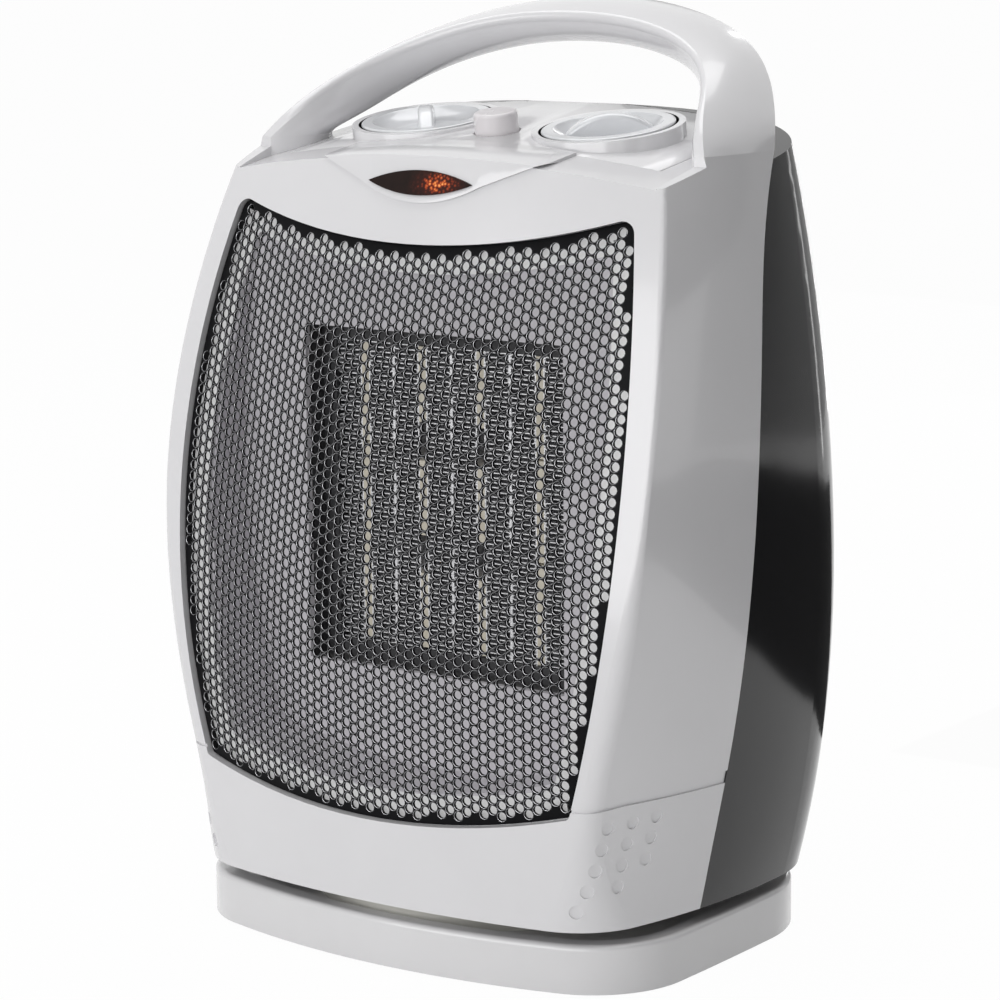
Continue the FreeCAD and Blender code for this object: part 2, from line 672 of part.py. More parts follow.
def tongue_prism():
    """Outline of the raised tongue that carries the lens, seen from the front."""
    top, low = BODY_CAP_Z, LENS_Z - LENS_HALF_H - 2.0
    y = -90.0
    points = [V(-TONGUE_TOP_HALF_W, y, top), V(-TONGUE_TOP_HALF_W, y, 214.0),
              V(-TONGUE_BOT_HALF_W, y, LENS_Z - 0.5)]
    ends = [V(-p.x, p.y, p.z) for p in points]
    edges = [line(points[0], points[1]), line(points[1], points[2]),
             arc(points[2], V(0, y, low), ends[2]), line(ends[2], ends[1]), line(ends[1], ends[0]),
             line(ends[0], points[0])]
    return Part.Face(Part.Wire(edges)).extrude(V(0, PANEL_FRONT_Y + 1.5 - y, 0))


raised = body_loft(-TONGUE_T).common(under_top(-TONGUE_T)).common(tongue_prism())
tongue = raised.cut(body_outer).cut(eye)
panel = plate.fuse([lip, tongue] + [on_panel(Part.makeCylinder(COLLAR_R, COLLAR_TOP - collar_bottom,
                                                              V(0, 0, collar_bottom)), s * KNOB_X, KNOB_Y)
                                    for s in (-1, 1)])
panel = panel.fuse(on_panel(Part.makeCylinder(boss_r, -collar_bottom - 1, V(0, 0, collar_bottom)), 0, 0))
for s in (-1, 1):
    well = Part.makeCylinder(KNOB_R + KNOB_GAP, 20, V(0, 0, -WELL_DEPTH))
    hole = Part.makeCylinder(SHAFT_R + 0.4, 30, V(0, 0, -20))
    panel = panel.cut(on_panel(well.fuse(hole), s * KNOB_X, KNOB_Y))
panel = panel.cut(on_panel(Part.makeCylinder(BUTTON_R + BUTTON_GAP, 40, V(0, 0, -20)), 0, 0))
save("control_panel", panel)

lens_body = body_loft(-TONGUE_T - 0.4).common(eye).cut(body_inner)
save("indicator_lens", lens_body)

lamp_holder = box(-20, 20, -45, -28, LENS_Z - 4.1, LENS_Z + 4.1).common(body_inner)
lamp_hole = Part.makeCylinder(2.5, 30, V(6, -45, LENS_Z), V(0, 1, 0))
save("lamp_holder", lamp_holder.cut(lamp_hole))
lamp = Part.makeCylinder(2.5, 8, V(6, -28.6, LENS_Z), V(0, 1, 0))
save("indicator_lamp", lamp.fuse(Part.makeSphere(2.5, V(6, -28.6, LENS_Z))))


def long_grip():
    """Round-ended bar across a knob, crowned along its length, drawn along X."""
    half_w = GRIP_W / 2
    half_l = GRIP_LEN / 2 - half_w
    z0 = KNOB_TOP - DISH_DEPTH - 0.5
    bar = box(-half_l, half_l, -half_w, half_w, z0, z0 + 10)
    bar = bar.fuse([Part.makeCylinder(half_w, 10, V(x, 0, z0)) for x in (-half_l, half_l)]).removeSplitter()
    crown_r = half_l ** 2 / (2 * (GRIP_TOP - KNOB_TOP)) + (GRIP_TOP - KNOB_TOP) / 2
    bar = bar.common(Part.makeCylinder(crown_r, 40, V(0, 20, GRIP_TOP - crown_r), V(0, -1, 0)))
    top_edges = [e for e in bar.Edges if e.BoundBox.ZMin > z0 + 1.0 and e.BoundBox.ZMax > KNOB_TOP - 1.0
                 and e.BoundBox.XLength > 0.5]
    return bar.makeFillet(GRIP_ROUND_R, top_edges)


def knob(turn):
    """Ring, dished middle and grip bar; bored from below for its shaft."""
    bottom, top = -WELL_DEPTH + FACE_GAP, KNOB_TOP
    dish_z = top - DISH_DEPTH
    profile = [line(V(0, 0, bottom), V(KNOB_R, 0, bottom)), line(V(KNOB_R, 0, bottom), V(KNOB_R, 0, top - 0.6)),
               arc(V(KNOB_R, 0, top - 0.6), V(KNOB_R - 0.18, 0, top - 0.18), V(KNOB_R - 0.6, 0, top)),
               line(V(KNOB_R - 0.6, 0, top), V(DISH_R + 0.8, 0, top)),
               arc(V(DISH_R + 0.8, 0, top), V(DISH_R - 2.2, 0, dish_z + 0.9), V(DISH_R - 6.0, 0, dish_z)),
               line(V(DISH_R - 6.0, 0, dish_z), V(0, 0, dish_z)), line(V(0, 0, dish_z), V(0, 0, bottom))]
    body = Part.Face(Part.Wire(profile)).revolve(V(0, 0, 0), V(0, 0, 1), 360)
    bar = long_grip()
    bar.rotate(V(0, 0, 0), V(0, 0, 1), turn)
    return body.fuse(bar).cut(Part.makeCylinder(SHAFT_R, 2.2, V(0, 0, bottom)))


for name, s, turn in (("thermostat", -1, KNOB_TURN[0]), ("mode", 1, KNOB_TURN[1])):
    bottom = -WELL_DEPTH + FACE_GAP
    save(name + "_knob", on_panel(knob(turn), s * KNOB_X, KNOB_Y))
    shaft = Part.makeCylinder(SHAFT_R, SWITCH_H + collar_bottom * -1 - 6.0 + bottom + 2.2 + 2.0,
                              V(0, 0, collar_bottom - SWITCH_H + 4.0))
    save(name + "_shaft", on_panel(shaft, s * KNOB_X, KNOB_Y))
    body = box(-SWITCH_HALF, SWITCH_HALF, -SWITCH_HALF, SWITCH_HALF, collar_bottom - SWITCH_H, collar_bottom)
    body = body.cut(Part.makeCylinder(SHAFT_R + RUN_FIT, SWITCH_H, V(0, 0, collar_bottom - SWITCH_H + 3.7)))
    save(name + "_switch", on_panel(body, s * KNOB_X, KNOB_Y))

flange_z = collar_bottom - FACE_GAP
button = Part.makeCylinder(BUTTON_R, BUTTON_TOP - flange_z, V(0, 0, flange_z))
button = button.makeFillet(BUTTON_ROUND_R, [e for e in button.Edges if abs(e.BoundBox.ZMin - BUTTON_TOP) < 0.01
                                 and e.BoundBox.ZLength < 0.01])
button = button.fuse([Part.makeCylinder(PUSH_FLANGE_R, 2.0, V(0, 0, flange_z - 2.0)),
                      Part.makeCylinder(2.0, 6.0, V(0, 0, flange_z - 8.0))])
save("osc_button", on_panel(button, 0, 0))
push_top = flange_z - 2.0 - BUTTON_TRAVEL - 1.0
push = box(-PUSH_BODY_HALF, PUSH_BODY_HALF, -PUSH_BODY_HALF, PUSH_BODY_HALF, push_top - 10.0, push_top)
cage = box(-PUSH_BODY_HALF, PUSH_BODY_HALF, -PUSH_BODY_HALF, PUSH_BODY_HALF, push_top, collar_bottom)
cage = cage.cut(box(-PUSH_BODY_HALF, PUSH_BODY_HALF, -PUSH_FLANGE_R - 0.4, PUSH_FLANGE_R + 0.4, push_top, collar_bottom))
push = push.fuse(cage).cut(Part.makeCylinder(2.3, 7.0, V(0, 0, push_top - 7.0)))
save("osc_switch", on_panel(push, 0, 0))

# ---------------------------------------------------------------- front grille and outlet
tray = opening_prism(-FACE_GAP).common(front_loft(GRILLE_SINK)).cut(ledge_face).cut(low_sides)
pocket = opening_prism(-FACE_GAP - GRILLE_T).common(front_loft(GRILLE_SINK + GRILLE_T))
save("front_grille", tray.cut(pocket))

window = box(-WINDOW_HALF_W, WINDOW_HALF_W, -60, 0, CORE_Z - WINDOW_HALF_H, CORE_Z + WINDOW_HALF_H)
pan = opening_prism(BAFFLE_T / 2 - LEDGE_W, -80.0, BAFFLE_Y + BAFFLE_T, corners=None).common(ledge_back)
pan_room = opening_prism(-BAFFLE_T / 2 - LEDGE_W, -90.0, BAFFLE_Y, corners=None)
save("outlet_baffle", pan.cut(pan_room).cut(window))

# ---------------------------------------------------------------- heater core
core_half_w = ROW_PITCH * ROW_COUNT / 2 - SEPARATOR_T / 2
core_half_h = WINDOW_HALF_H - CORE_MARGIN
frame_half_w, frame_half_h = core_half_w + FRAME_RIM, core_half_h + FRAME_RIM
frame_y0, core_y1 = BAFFLE_Y + BAFFLE_T, CORE_Y + CORE_DEPTH
row_xs = [ROW_PITCH * (i - (ROW_COUNT - 1) / 2) for i in range(ROW_COUNT)]
core_z0, core_z1 = CORE_Z - core_half_h, CORE_Z + core_half_h

heater_frame = box(-frame_half_w, frame_half_w, frame_y0, FRAME_REAR_Y, CORE_Z - frame_half_h, CORE_Z + frame_half_h)
heater_frame = heater_frame.cut(box(-core_half_w, core_half_w, frame_y0, FRAME_REAR_Y, core_z0, core_z1))
heater_frame = heater_frame.cut(window.common(box(-200, 200, frame_y0, CORE_Y - 1.0, 0, 300)))
tabs = [box(x - 0.4, x + 0.4, CORE_Y + 3, core_y1 - 3, core_z1, CORE_Z + frame_half_h + 8) for x in row_xs[1:3]]
save("heater_frame", heater_frame.cut(group(tabs)))
save("heater_terminals", group(tabs))


def upright(x, thick):
    """Strip across the depth of the core, as tall as the core."""
    return box(x - thick / 2, x + thick / 2, CORE_Y, core_y1, core_z0, core_z1)


tiles = []
for i, x in enumerate(row_xs):
    kind = 0 if i in (0, ROW_COUNT - 1) else 1
    for step in (-1, 0, 1):
        z = CORE_Z + step * TILE_PITCH[kind]
        half = TILE_LEN[kind] / 2
        tiles.append(box(x - CERAMIC_T / 2, x + CERAMIC_T / 2, CORE_Y, core_y1, z - half, z + half))
save("ceramic_rows", group(tiles))
base_x = (CERAMIC_T + FIN_BASE_T) / 2
save("fin_base_strips", group([upright(x + s * base_x, FIN_BASE_T) for x in row_xs for s in (-1, 1)]))
save("fin_separators", group([upright(x, SEPARATOR_T) for x in (-ROW_PITCH, 0.0, ROW_PITCH)]))


def fin_ribbon(x0, x1):
    """One folded strip between a ceramic row and a separator, folds running up the row."""
    x0, x1 = sorted((x0, x1))
    count = int(2 * (core_z1 - core_z0) / FIN_PITCH)
    pitch = (core_z1 - core_z0) / count
    near = [V(x0 if i % 2 == 0 else x1 - FIN_T, CORE_Y, core_z0 + pitch * i) for i in range(count + 1)]
    far = [p + V(FIN_T, 0, 0) for p in reversed(near)]
    return Part.Face(Part.makePolygon(near + far + near[:1])).extrude(V(0, CORE_DEPTH, 0))


fins = []
for x in row_xs:
    reach = ROW_PITCH / 2 - SEPARATOR_T / 2
    start = CERAMIC_T / 2 + FIN_BASE_T
    fins += [fin_ribbon(x + start, x + reach), fin_ribbon(x - start, x - reach)]
save("heat_fins", group(fins))

roof = CORE_Z + frame_half_h
mid_y = (CORE_Y + core_y1) / 2
cutoff = Part.makeCylinder(7.5, 1.0, V(30, mid_y, roof)).fuse(Part.makeCylinder(6.5, 6.0, V(30, mid_y, roof + 1.0)))
save("thermal_cutoff", cutoff)
fuse = box(-38, -22, mid_y - 3, mid_y + 3, roof, roof + 1.0)
fuse = fuse.fuse(Part.makeCylinder(2.2, 14, V(-37, mid_y, roof + 2.6), V(1, 0, 0)))
save("thermal_fuse", fuse)

# ---------------------------------------------------------------- air path
def frame_wire(half_w, half_h, y):
    pts = [V(-half_w, y, CORE_Z - half_h), V(half_w, y, CORE_Z - half_h),
           V(half_w, y, CORE_Z + half_h), V(-half_w, y, CORE_Z + half_h)]
    return Part.makePolygon(pts + pts[:1])


shroud_r = FAN_R + FAN_TIP_GAP
shroud_half = shroud_r + 4.0
duct_y1 = FRAME_REAR_Y + DUCT_DEPTH
duct = Part.makeLoft([frame_wire(frame_half_w, frame_half_h, FRAME_REAR_Y), frame_wire(shroud_half, shroud_half, duct_y1)],
                     True, True)
duct = duct.cut(Part.makeLoft([frame_wire(frame_half_w - DUCT_WALL, frame_half_h - DUCT_WALL, FRAME_REAR_Y),
                               frame_wire(shroud_half - DUCT_WALL, shroud_half - DUCT_WALL, duct_y1)], True, True))
save("air_duct", duct)

axis = V(0, 1, 0)
mount_y = FAN_Y[1] + 1.2
mount_t = 2.0
shroud = box(-shroud_half, shroud_half, duct_y1, duct_y1 + 2, CORE_Z - shroud_half, CORE_Z + shroud_half)
shroud = shroud.cut(Part.makeCylinder(shroud_r, 10, V(0, duct_y1 - 1, CORE_Z), axis))
shroud = shroud.fuse(tube(shroud_r + 2, shroud_r, mount_y + mount_t - duct_y1, V(0, duct_y1, CORE_Z), axis))
for turn in (45, 135):
    arm = box(-shroud_r - 1, shroud_r + 1, mount_y, mount_y + mount_t, CORE_Z - 4, CORE_Z + 4)
    arm.rotate(V(0, 0, CORE_Z), axis, turn)
    shroud = shroud.fuse(arm)
shroud = shroud.fuse(Part.makeCylinder(28, mount_t, V(0, mount_y, CORE_Z), axis))
for s in (-1, 1):
    x0, x1 = sorted((s * 20, s * 50))
    shroud = shroud.fuse([box(x0, x1, duct_y1, duct_y1 + 2, floor_z1, CORE_Z - shroud_half + 1),
                          box(x0, x1, duct_y1, duct_y1 + 10, floor_z1, floor_z1 + 2)])
screw_spots = [V(s * MOTOR_SCREW_X, 0, CORE_Z) for s in (-1, 1)]
motor_holes = [Part.makeCylinder(1.5, 60, p + V(0, mount_y, 0), axis) for p in screw_spots]
shroud = shroud.cut(Part.makeCylinder(BEARING_R + 1, 20, V(0, mount_y - 5, CORE_Z), axis)).cut(group(motor_holes))
save("fan_shroud", shroud)

# ---------------------------------------------------------------- fan and motor
def blade_section(r, chord, pitch):
    a = math.radians(pitch)
    along = V(0, math.sin(a), math.cos(a)) * (chord / 2)
    thick = V(0, math.cos(a), -math.sin(a)) * 0.7
    mid = V(r, (FAN_Y[0] + FAN_Y[1]) / 2, 0)
    pts = [mid - along - thick, mid + along - thick, mid + along + thick, mid - along + thick]
    return Part.makePolygon(pts + pts[:1])


blade = Part.makeLoft([blade_section(HUB_R - 2, 12.0, 48), blade_section(28, 17.0, 34), blade_section(FAN_R + 3, 23.0, 24)],
                      True, False)
fan = Part.makeCylinder(HUB_R, FAN_Y[1] - FAN_Y[0], V(0, FAN_Y[0], 0), axis)
for i in range(FAN_BLADES):
    turned = blade.copy()
    turned.rotate(V(0, 0, 0), axis, 360.0 * i / FAN_BLADES)
    fan = fan.fuse(turned)
fan = fan.common(Part.makeCylinder(FAN_R, FAN_Y[1] - FAN_Y[0], V(0, FAN_Y[0], 0), axis))
fan = fan.cut(Part.makeCylinder(FAN_SHAFT_R, 40, V(0, 0, 0), axis))
fan.translate(V(0, 0, CORE_Z))
save("fan_impeller", fan)

shaft_y1 = STATOR_Y[1] + 6.5
save("fan_shaft", Part.makeCylinder(FAN_SHAFT_R, shaft_y1 - FAN_Y[0], V(0, FAN_Y[0], CORE_Z), axis))
save("fan_rotor", tube(ROTOR_R, FAN_SHAFT_R, STATOR_Y[1] - STATOR_Y[0], V(0, STATOR_Y[0], CORE_Z), axis))

bar_z0 = COIL_WINDOW[0] - STATOR_LEG
stator = box(-STATOR_W / 2, STATOR_W / 2, STATOR_Y[0], STATOR_Y[1], CORE_Z + bar_z0, CORE_Z + STATOR_TOP)
stator = stator.cut(Part.makeCylinder(ROTOR_R + AIR_GAP, 80, V(0, 0, CORE_Z), axis))
stator = stator.cut(box(-19, 19, 0, 80, CORE_Z + COIL_WINDOW[0], CORE_Z + COIL_WINDOW[1]))
save("fan_stator", stator.cut(group(motor_holes)))
coil = box(-COIL_HALF_W, COIL_HALF_W, STATOR_Y[0] - COIL_T, STATOR_Y[1] + COIL_T,
           CORE_Z + bar_z0 - 6, CORE_Z + COIL_WINDOW[0] + 7)
save("fan_coil", coil.cut(box(-40, 40, STATOR_Y[0], STATOR_Y[1], CORE_Z + bar_z0, CORE_Z + COIL_WINDOW[0])))

bearing_front = (mount_y + mount_t, STATOR_Y[0] - 1.0)
bearing_rear = (STATOR_Y[1] + 1.0, STATOR_Y[1] + 4.5)
brackets = []
for name, plate_y, legs, hold in (("motor_front_bracket", (mount_y + mount_t, mount_y + mount_t + BRACKET_T),
                                   (mount_y + mount_t, STATOR_Y[0]), bearing_front),
                                  ("motor_rear_bracket", (STATOR_Y[1] + 3.0, STATOR_Y[1] + 3.0 + BRACKET_T),
                                   (STATOR_Y[1], STATOR_Y[1] + 3.0 + BRACKET_T), bearing_rear)):
    bracket = box(-27, 27, plate_y[0], plate_y[1], CORE_Z - 14, CORE_Z + 14)
    bracket = bracket.fuse([box(-27, -19, legs[0], legs[1], CORE_Z - 14, CORE_Z + 14),
                            box(19, 27, legs[0], legs[1], CORE_Z - 14, CORE_Z + 14)])
    bracket = bracket.cut(Part.makeCylinder(BEARING_R, 80, V(0, 0, CORE_Z), axis)).cut(group(motor_holes))
    save(name, bracket)
save("fan_bearings", group([tube(BEARING_R, FAN_SHAFT_R + RUN_FIT, b[1] - b[0], V(0, b[0], CORE_Z), axis)
                            for b in (bearing_front, bearing_rear)]))
screw_y1 = STATOR_Y[1] + 3.0 + BRACKET_T
save("motor_screws", group([Part.makeCylinder(1.5, screw_y1 - mount_y, p + V(0, mount_y, 0), axis)
                            .fuse(Part.makeCylinder(2.8, 2.0, p + V(0, screw_y1, 0), axis)) for p in screw_spots]))

# ---------------------------------------------------------------- head floor and switches on it
counterbores = []
shell_screws = []
for x, y in (FRONT_BOSS, REAR_BOSS):
    for s in (-1, 1):
        counterbores.append(Part.makeCylinder(3.0, 2.0, V(s * x, y, floor_z0)))
        counterbores.append(Part.makeCylinder(SCREW_R, 10.0, V(s * x, y, floor_z0)))
        shell_screws.append(Part.makeCylinder(2.8, 1.8, V(s * x, y, floor_z0 + 0.2))
                            .fuse(Part.makeCylinder(SCREW_R, 9.0, V(s * x, y, floor_z0 + 2.0))))
crank_x, crank_y = 0.0, -CRANK_CENTRE
ear_x = OSC_MOTOR_R + 3.5
ear_y = crank_y - OSC_SHAFT_OFFSET
ear_holes = [Part.makeCylinder(SCREW_R, 8.0, V(s * ear_x, ear_y, floor_z0)) for s in (-1, 1)]
floor = body_inner.common(box(-120, 120, -120, 120, floor_z0, floor_z1))
floor = floor.cut(group(counterbores + ear_holes))
floor = floor.cut(Part.makeCylinder(BUSH_R, 10, V(0, 0, floor_z0)))
floor = floor.cut(Part.makeCylinder(CRANK_SHAFT_R + RUN_FIT, 10, V(crank_x, crank_y, floor_z0)))
save("floor_plate", floor)
save("shell_screws", group(shell_screws))

bush = tube(BUSH_R, POST_R + RUN_FIT, BUSH_H, V(0, 0, floor_z0))
bush = bush.fuse(tube(BUSH_R + 1.0, BUSH_R - 1.0, 2.0, V(0, 0, floor_z1)))
save("pivot_bush", bush)

block_y = (26.0, 38.0)
block = box(-52, -24, block_y[0], block_y[1], floor_z1, floor_z1 + 12)
block_xs = (-46.0, -38.0, -30.0)
wells = [Part.makeCylinder(2.4, 5.0, V(x, sum(block_y) / 2, floor_z1 + 7)) for x in block_xs]
ports = [box(x - 2, x + 2, block_y[0], block_y[1], floor_z1 + 2.5, floor_z1 + 6.5) for x in block_xs]
save("terminal_block", block.cut(group(wells + ports)))
save("terminal_screws", group([Part.makeCylinder(2.4, 2.6, V(x, sum(block_y) / 2, floor_z1 + 7)) for x in block_xs]))

bracket_y = TIP_Y[1] - 2
tip = box(TIP_X - 10, TIP_X + 10, TIP_Y[0], TIP_Y[1], floor_z1, floor_z1 + 2)
tip = tip.fuse([box(TIP_X - 10, TIP_X + 10, bracket_y, TIP_Y[1], floor_z1, TIP_PIVOT_Z + 16),
                Part.makeCylinder(1.5, bracket_y - 26, V(TIP_X, 26, TIP_PIVOT_Z), axis)])
save("tip_bracket", tip)
pendulum = Part.makeCylinder(4.0, 4.0, V(TIP_X, 30, TIP_PIVOT_Z), axis)
pendulum = pendulum.fuse([box(TIP_X - 2, TIP_X + 2, 30, 34, TIP_PIVOT_Z - TIP_ARM, TIP_PIVOT_Z),
                          Part.makeCylinder(TIP_WEIGHT_R, 10.0, V(TIP_X, 27, TIP_PIVOT_Z - TIP_ARM), axis)])
save("tip_pendulum", pendulum.cut(Part.makeCylinder(1.5 + RUN_FIT, 30, V(TIP_X, 20, TIP_PIVOT_Z), axis)))
micro = box(TIP_X - 8, TIP_X + 8, bracket_y - 8, bracket_y, TIP_PIVOT_Z + 6, TIP_PIVOT_Z + 15)
save("tip_microswitch", micro)

# ---------------------------------------------------------------- oscillation drive
osc = Part.makeCylinder(OSC_MOTOR_R, OSC_MOTOR_H, V(0, ear_y, floor_z1))
osc = osc.fuse(box(-ear_x - 4, ear_x + 4, ear_y - 4, ear_y + 4, floor_z1, floor_z1 + 1.5))
osc = osc.cut(Part.makeCylinder(CRANK_SHAFT_R + RUN_FIT, 9.0, V(crank_x, crank_y, floor_z1)))
save("osc_motor", osc.cut(group(ear_holes)))
save("osc_motor_screws", group([Part.makeCylinder(SCREW_R, 5.0, V(s * ear_x, ear_y, floor_z0 - 0.0))
                                .fuse(Part.makeCylinder(2.8, 1.8, V(s * ear_x, ear_y, floor_z1 + 1.5)))
                                for s in (-1, 1)]))

throw = CRANK_CENTRE * math.sin(math.radians(SWING_DEG))
crank_z0, crank_z1 = CRANK_Z
pin_y = crank_y - throw
web = CRANK_END_R * 0.95
arm_face = Part.makePolygon([V(-web, crank_y, crank_z0), V(web, crank_y, crank_z0), V(web, pin_y, crank_z0),
                             V(-web, pin_y, crank_z0), V(-web, crank_y, crank_z0)])
crank = Part.Face(arm_face).extrude(V(0, 0, crank_z1 - crank_z0))
crank = crank.fuse([Part.makeCylinder(CRANK_HUB_R, crank_z1 - crank_z0, V(0, crank_y, crank_z0)),
                    Part.makeCylinder(CRANK_END_R, crank_z1 - crank_z0, V(0, pin_y, crank_z0)),
                    Part.makeCylinder(CRANK_SHAFT_R, floor_z1 + 8.0 - crank_z1, V(0, crank_y, crank_z1)),
                    Part.makeCylinder(CRANK_PIN_R, crank_z0 - CRANK_PIN_Z, V(0, pin_y, CRANK_PIN_Z))])
save("crank_arm", crank)


def pin_at(share):
    """Crank pin seen from the base when the head stands at a share of its swing."""
    head = math.radians(SWING_DEG * share)
    arm = head - math.radians(CRANK_SWING_DEG * share)
    return (CRANK_CENTRE * math.sin(head) + throw * math.sin(arm),
            -CRANK_CENTRE * math.cos(head) - throw * math.cos(arm))


path = [pin_at(i / 40) for i in range(-40, 41)]
slot_half_w = max(abs(x) for x, _ in path) + CRANK_PIN_R + SLOT_CLEAR
slot_far, slot_near = min(y for _, y in path), max(y for _, y in path)

# ---------------------------------------------------------------- swivel base
def base_prism(inset, z0, z1):
    wire = bowed_outline(BASE_HALF_W - BASE_SIDE_SAG - inset, BASE_HALF_W - inset, -BASE_HALF_D + inset,
                         BASE_HALF_D - inset, (BASE_FRONT_SAG, BASE_SIDE_SAG, BASE_REAR_SAG),
                         (BASE_FRONT_R - inset, BASE_REAR_R - inset), z0)[0]
    return Part.Face(wire).extrude(V(0, 0, z1 - z0))


deck_z0 = BASE_DECK_Z - BASE_WALL
cover_z1 = BASE_LIFT + BASE_COVER_T
base = base_prism(0.0, BASE_LIFT, BASE_RIM_Z)
base = base.makeFillet(BASE_EDGE_R, [e for e in base.Edges if e.BoundBox.ZMin > BASE_RIM_Z - 0.01])
base = base.cut(base_prism(BASE_RIM_W, BASE_DECK_Z, BASE_RIM_Z + 1))
base = base.cut(base_prism(BASE_WALL, BASE_LIFT, deck_z0))
spots = [(s * x, y) for x, y in BASE_SCREWS for s in (-1, 1)]
base = base.fuse([Part.makeCylinder(4.0, deck_z0 - cover_z1, V(x, y, cover_z1)) for x, y in spots])
base = base.cut(group([Part.makeCylinder(SCREW_R, 5.0, V(x, y, cover_z1)) for x, y in spots]))
base = base.cut(Part.makeCylinder(POST_R, 20, V(0, 0, 0)))
save("base_shell", base)

foot_spots = [(s * x, y) for x, y in FEET for s in (-1, 1)]
foot_top = cover_z1 - 0.8
cover = base_prism(BASE_WALL, BASE_LIFT, cover_z1)
cover = cover.cut(group([Part.makeCylinder(FOOT_R, foot_top, V(x, y, 0)) for x, y in foot_spots]))
cover = cover.cut(group([Part.makeCylinder(3.0, cover_z1 - 0.8, V(x, y, 0)) for x, y in spots]
                        + [Part.makeCylinder(SCREW_R, 5.0, V(x, y, 0)) for x, y in spots]))
save("base_bottom_cover", cover)
feet = [Part.makeCylinder(FOOT_R, foot_top, V(x, y, 0)) for x, y in foot_spots]
save("rubber_feet", group([f.makeFillet(0.5, [e for e in f.Edges if e.BoundBox.ZMax < 0.01]) for f in feet]))
save("base_screws", group([Part.makeCylinder(2.8, 1.0, V(x, y, foot_top - 1.0))
                           .fuse(Part.makeCylinder(SCREW_R, 5.5, V(x, y, foot_top))) for x, y in spots]))

post = Part.makeCylinder(POST_R, POST_TOP_Z - deck_z0, V(0, 0, deck_z0))
post = post.fuse(Part.makeCylinder(POST_FLANGE_R, 2.5, V(0, 0, deck_z0 - 2.5)))
save("pivot_post", post)
save("retaining_washer", tube(WASHER_R, POST_R, 2.0, V(0, 0, floor_z0 + BUSH_H + FACE_GAP)))
save("glide_ring", tube(GLIDE_R_OUT, GLIDE_R_IN, floor_z0 - FACE_GAP - BASE_DECK_Z, V(0, 0, BASE_DECK_Z)))

slot_plate = box(-SLOT_PLATE_HALF_W, SLOT_PLATE_HALF_W, -43.0, -15.0, BASE_DECK_Z, SLOT_PLATE_TOP_Z)
groove = box(-slot_half_w, slot_half_w, slot_far, slot_near, BASE_DECK_Z, SLOT_PLATE_TOP_Z)
groove = groove.fuse([Part.makeCylinder(slot_half_w, 4, V(0, y, BASE_DECK_Z)) for y in (slot_far, slot_near)])
save("slot_plate", slot_plate.cut(groove))
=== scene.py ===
# %% [markdown]
# # Dressing a ceramic space heater
#
# The heater stands on a swivel base, blows warm air through a perforated steel grille, and is set
# with two dials and a push button under its carry handle. Its solid model comes as a fixed frame.
# This file gives every piece its surface, and makes the pieces that are too fine for that model:
# the punched grille and the lip behind it, the folded fins, the windings and the screw heads.
#
# Each step is a lesson: first what the real thing is, then the few ways to make it in Blender, and
# why one of them was chosen.

# %% Load the frame
import json
import math
import bmesh
import bpy
from mathutils import Matrix, Vector, geometry
from mathutils.bvhtree import BVHTree


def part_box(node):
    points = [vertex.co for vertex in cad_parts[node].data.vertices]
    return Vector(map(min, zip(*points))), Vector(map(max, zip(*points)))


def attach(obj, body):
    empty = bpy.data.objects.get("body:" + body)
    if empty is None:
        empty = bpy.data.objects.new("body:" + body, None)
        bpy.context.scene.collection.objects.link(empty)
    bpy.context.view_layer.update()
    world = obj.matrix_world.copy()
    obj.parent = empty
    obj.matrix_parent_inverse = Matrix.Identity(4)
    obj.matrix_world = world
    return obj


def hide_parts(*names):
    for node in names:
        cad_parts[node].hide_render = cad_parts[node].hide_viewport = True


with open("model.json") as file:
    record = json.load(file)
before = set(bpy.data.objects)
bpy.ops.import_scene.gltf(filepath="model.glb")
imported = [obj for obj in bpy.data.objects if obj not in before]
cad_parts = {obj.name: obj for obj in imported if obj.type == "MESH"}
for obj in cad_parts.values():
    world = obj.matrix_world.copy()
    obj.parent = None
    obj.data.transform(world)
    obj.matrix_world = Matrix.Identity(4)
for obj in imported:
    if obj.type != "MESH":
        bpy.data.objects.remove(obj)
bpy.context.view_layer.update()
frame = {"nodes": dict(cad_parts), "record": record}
nodes = frame["nodes"]
MM = 0.001

# %% [markdown]
# ## Camera
#
# The heater is seen from the right of its outlet and a little above, with a long lens, so that its
# upright lines stay nearly parallel. A camera can be aimed with a constraint or by writing its
# matrix. The matrix is chosen, because it also takes the slight roll of a hand-levelled tripod.

# %% Camera
AZIMUTH = math.radians(35.84)
ELEVATION = math.radians(10.22)
ROLL = math.radians(-0.44)
DISTANCE = 950.5 * MM
AIM = Vector((0, 0, 118.1 * MM))
FOCAL_LENGTH = 124.25     # both as camera makers give them, in plain millimetres
SENSOR_WIDTH = 36


def aim_camera(camera):
    """Put the camera on its arm: back is the way from the aim to the lens."""
    back = Vector((math.sin(AZIMUTH) * math.cos(ELEVATION),
                   -math.cos(AZIMUTH) * math.cos(ELEVATION), math.sin(ELEVATION)))
    right = Vector((math.cos(AZIMUTH), math.sin(AZIMUTH), 0))
    up = back.cross(right)
    level = Matrix((right, up, back)).transposed().to_4x4()
    camera.matrix_world = Matrix.Translation(AIM + back * DISTANCE) @ level @ Matrix.Rotation(ROLL, 4, "Z")


camera = bpy.data.objects.new("camera", bpy.data.cameras.new("camera"))
bpy.context.scene.collection.objects.link(camera)
camera.data.lens = FOCAL_LENGTH
camera.data.sensor_width = SENSOR_WIDTH
camera.data.clip_start = 10 * MM
aim_camera(camera)
bpy.context.scene.camera = camera
print("camera at", [round(v, 3) for v in camera.matrix_world.translation])

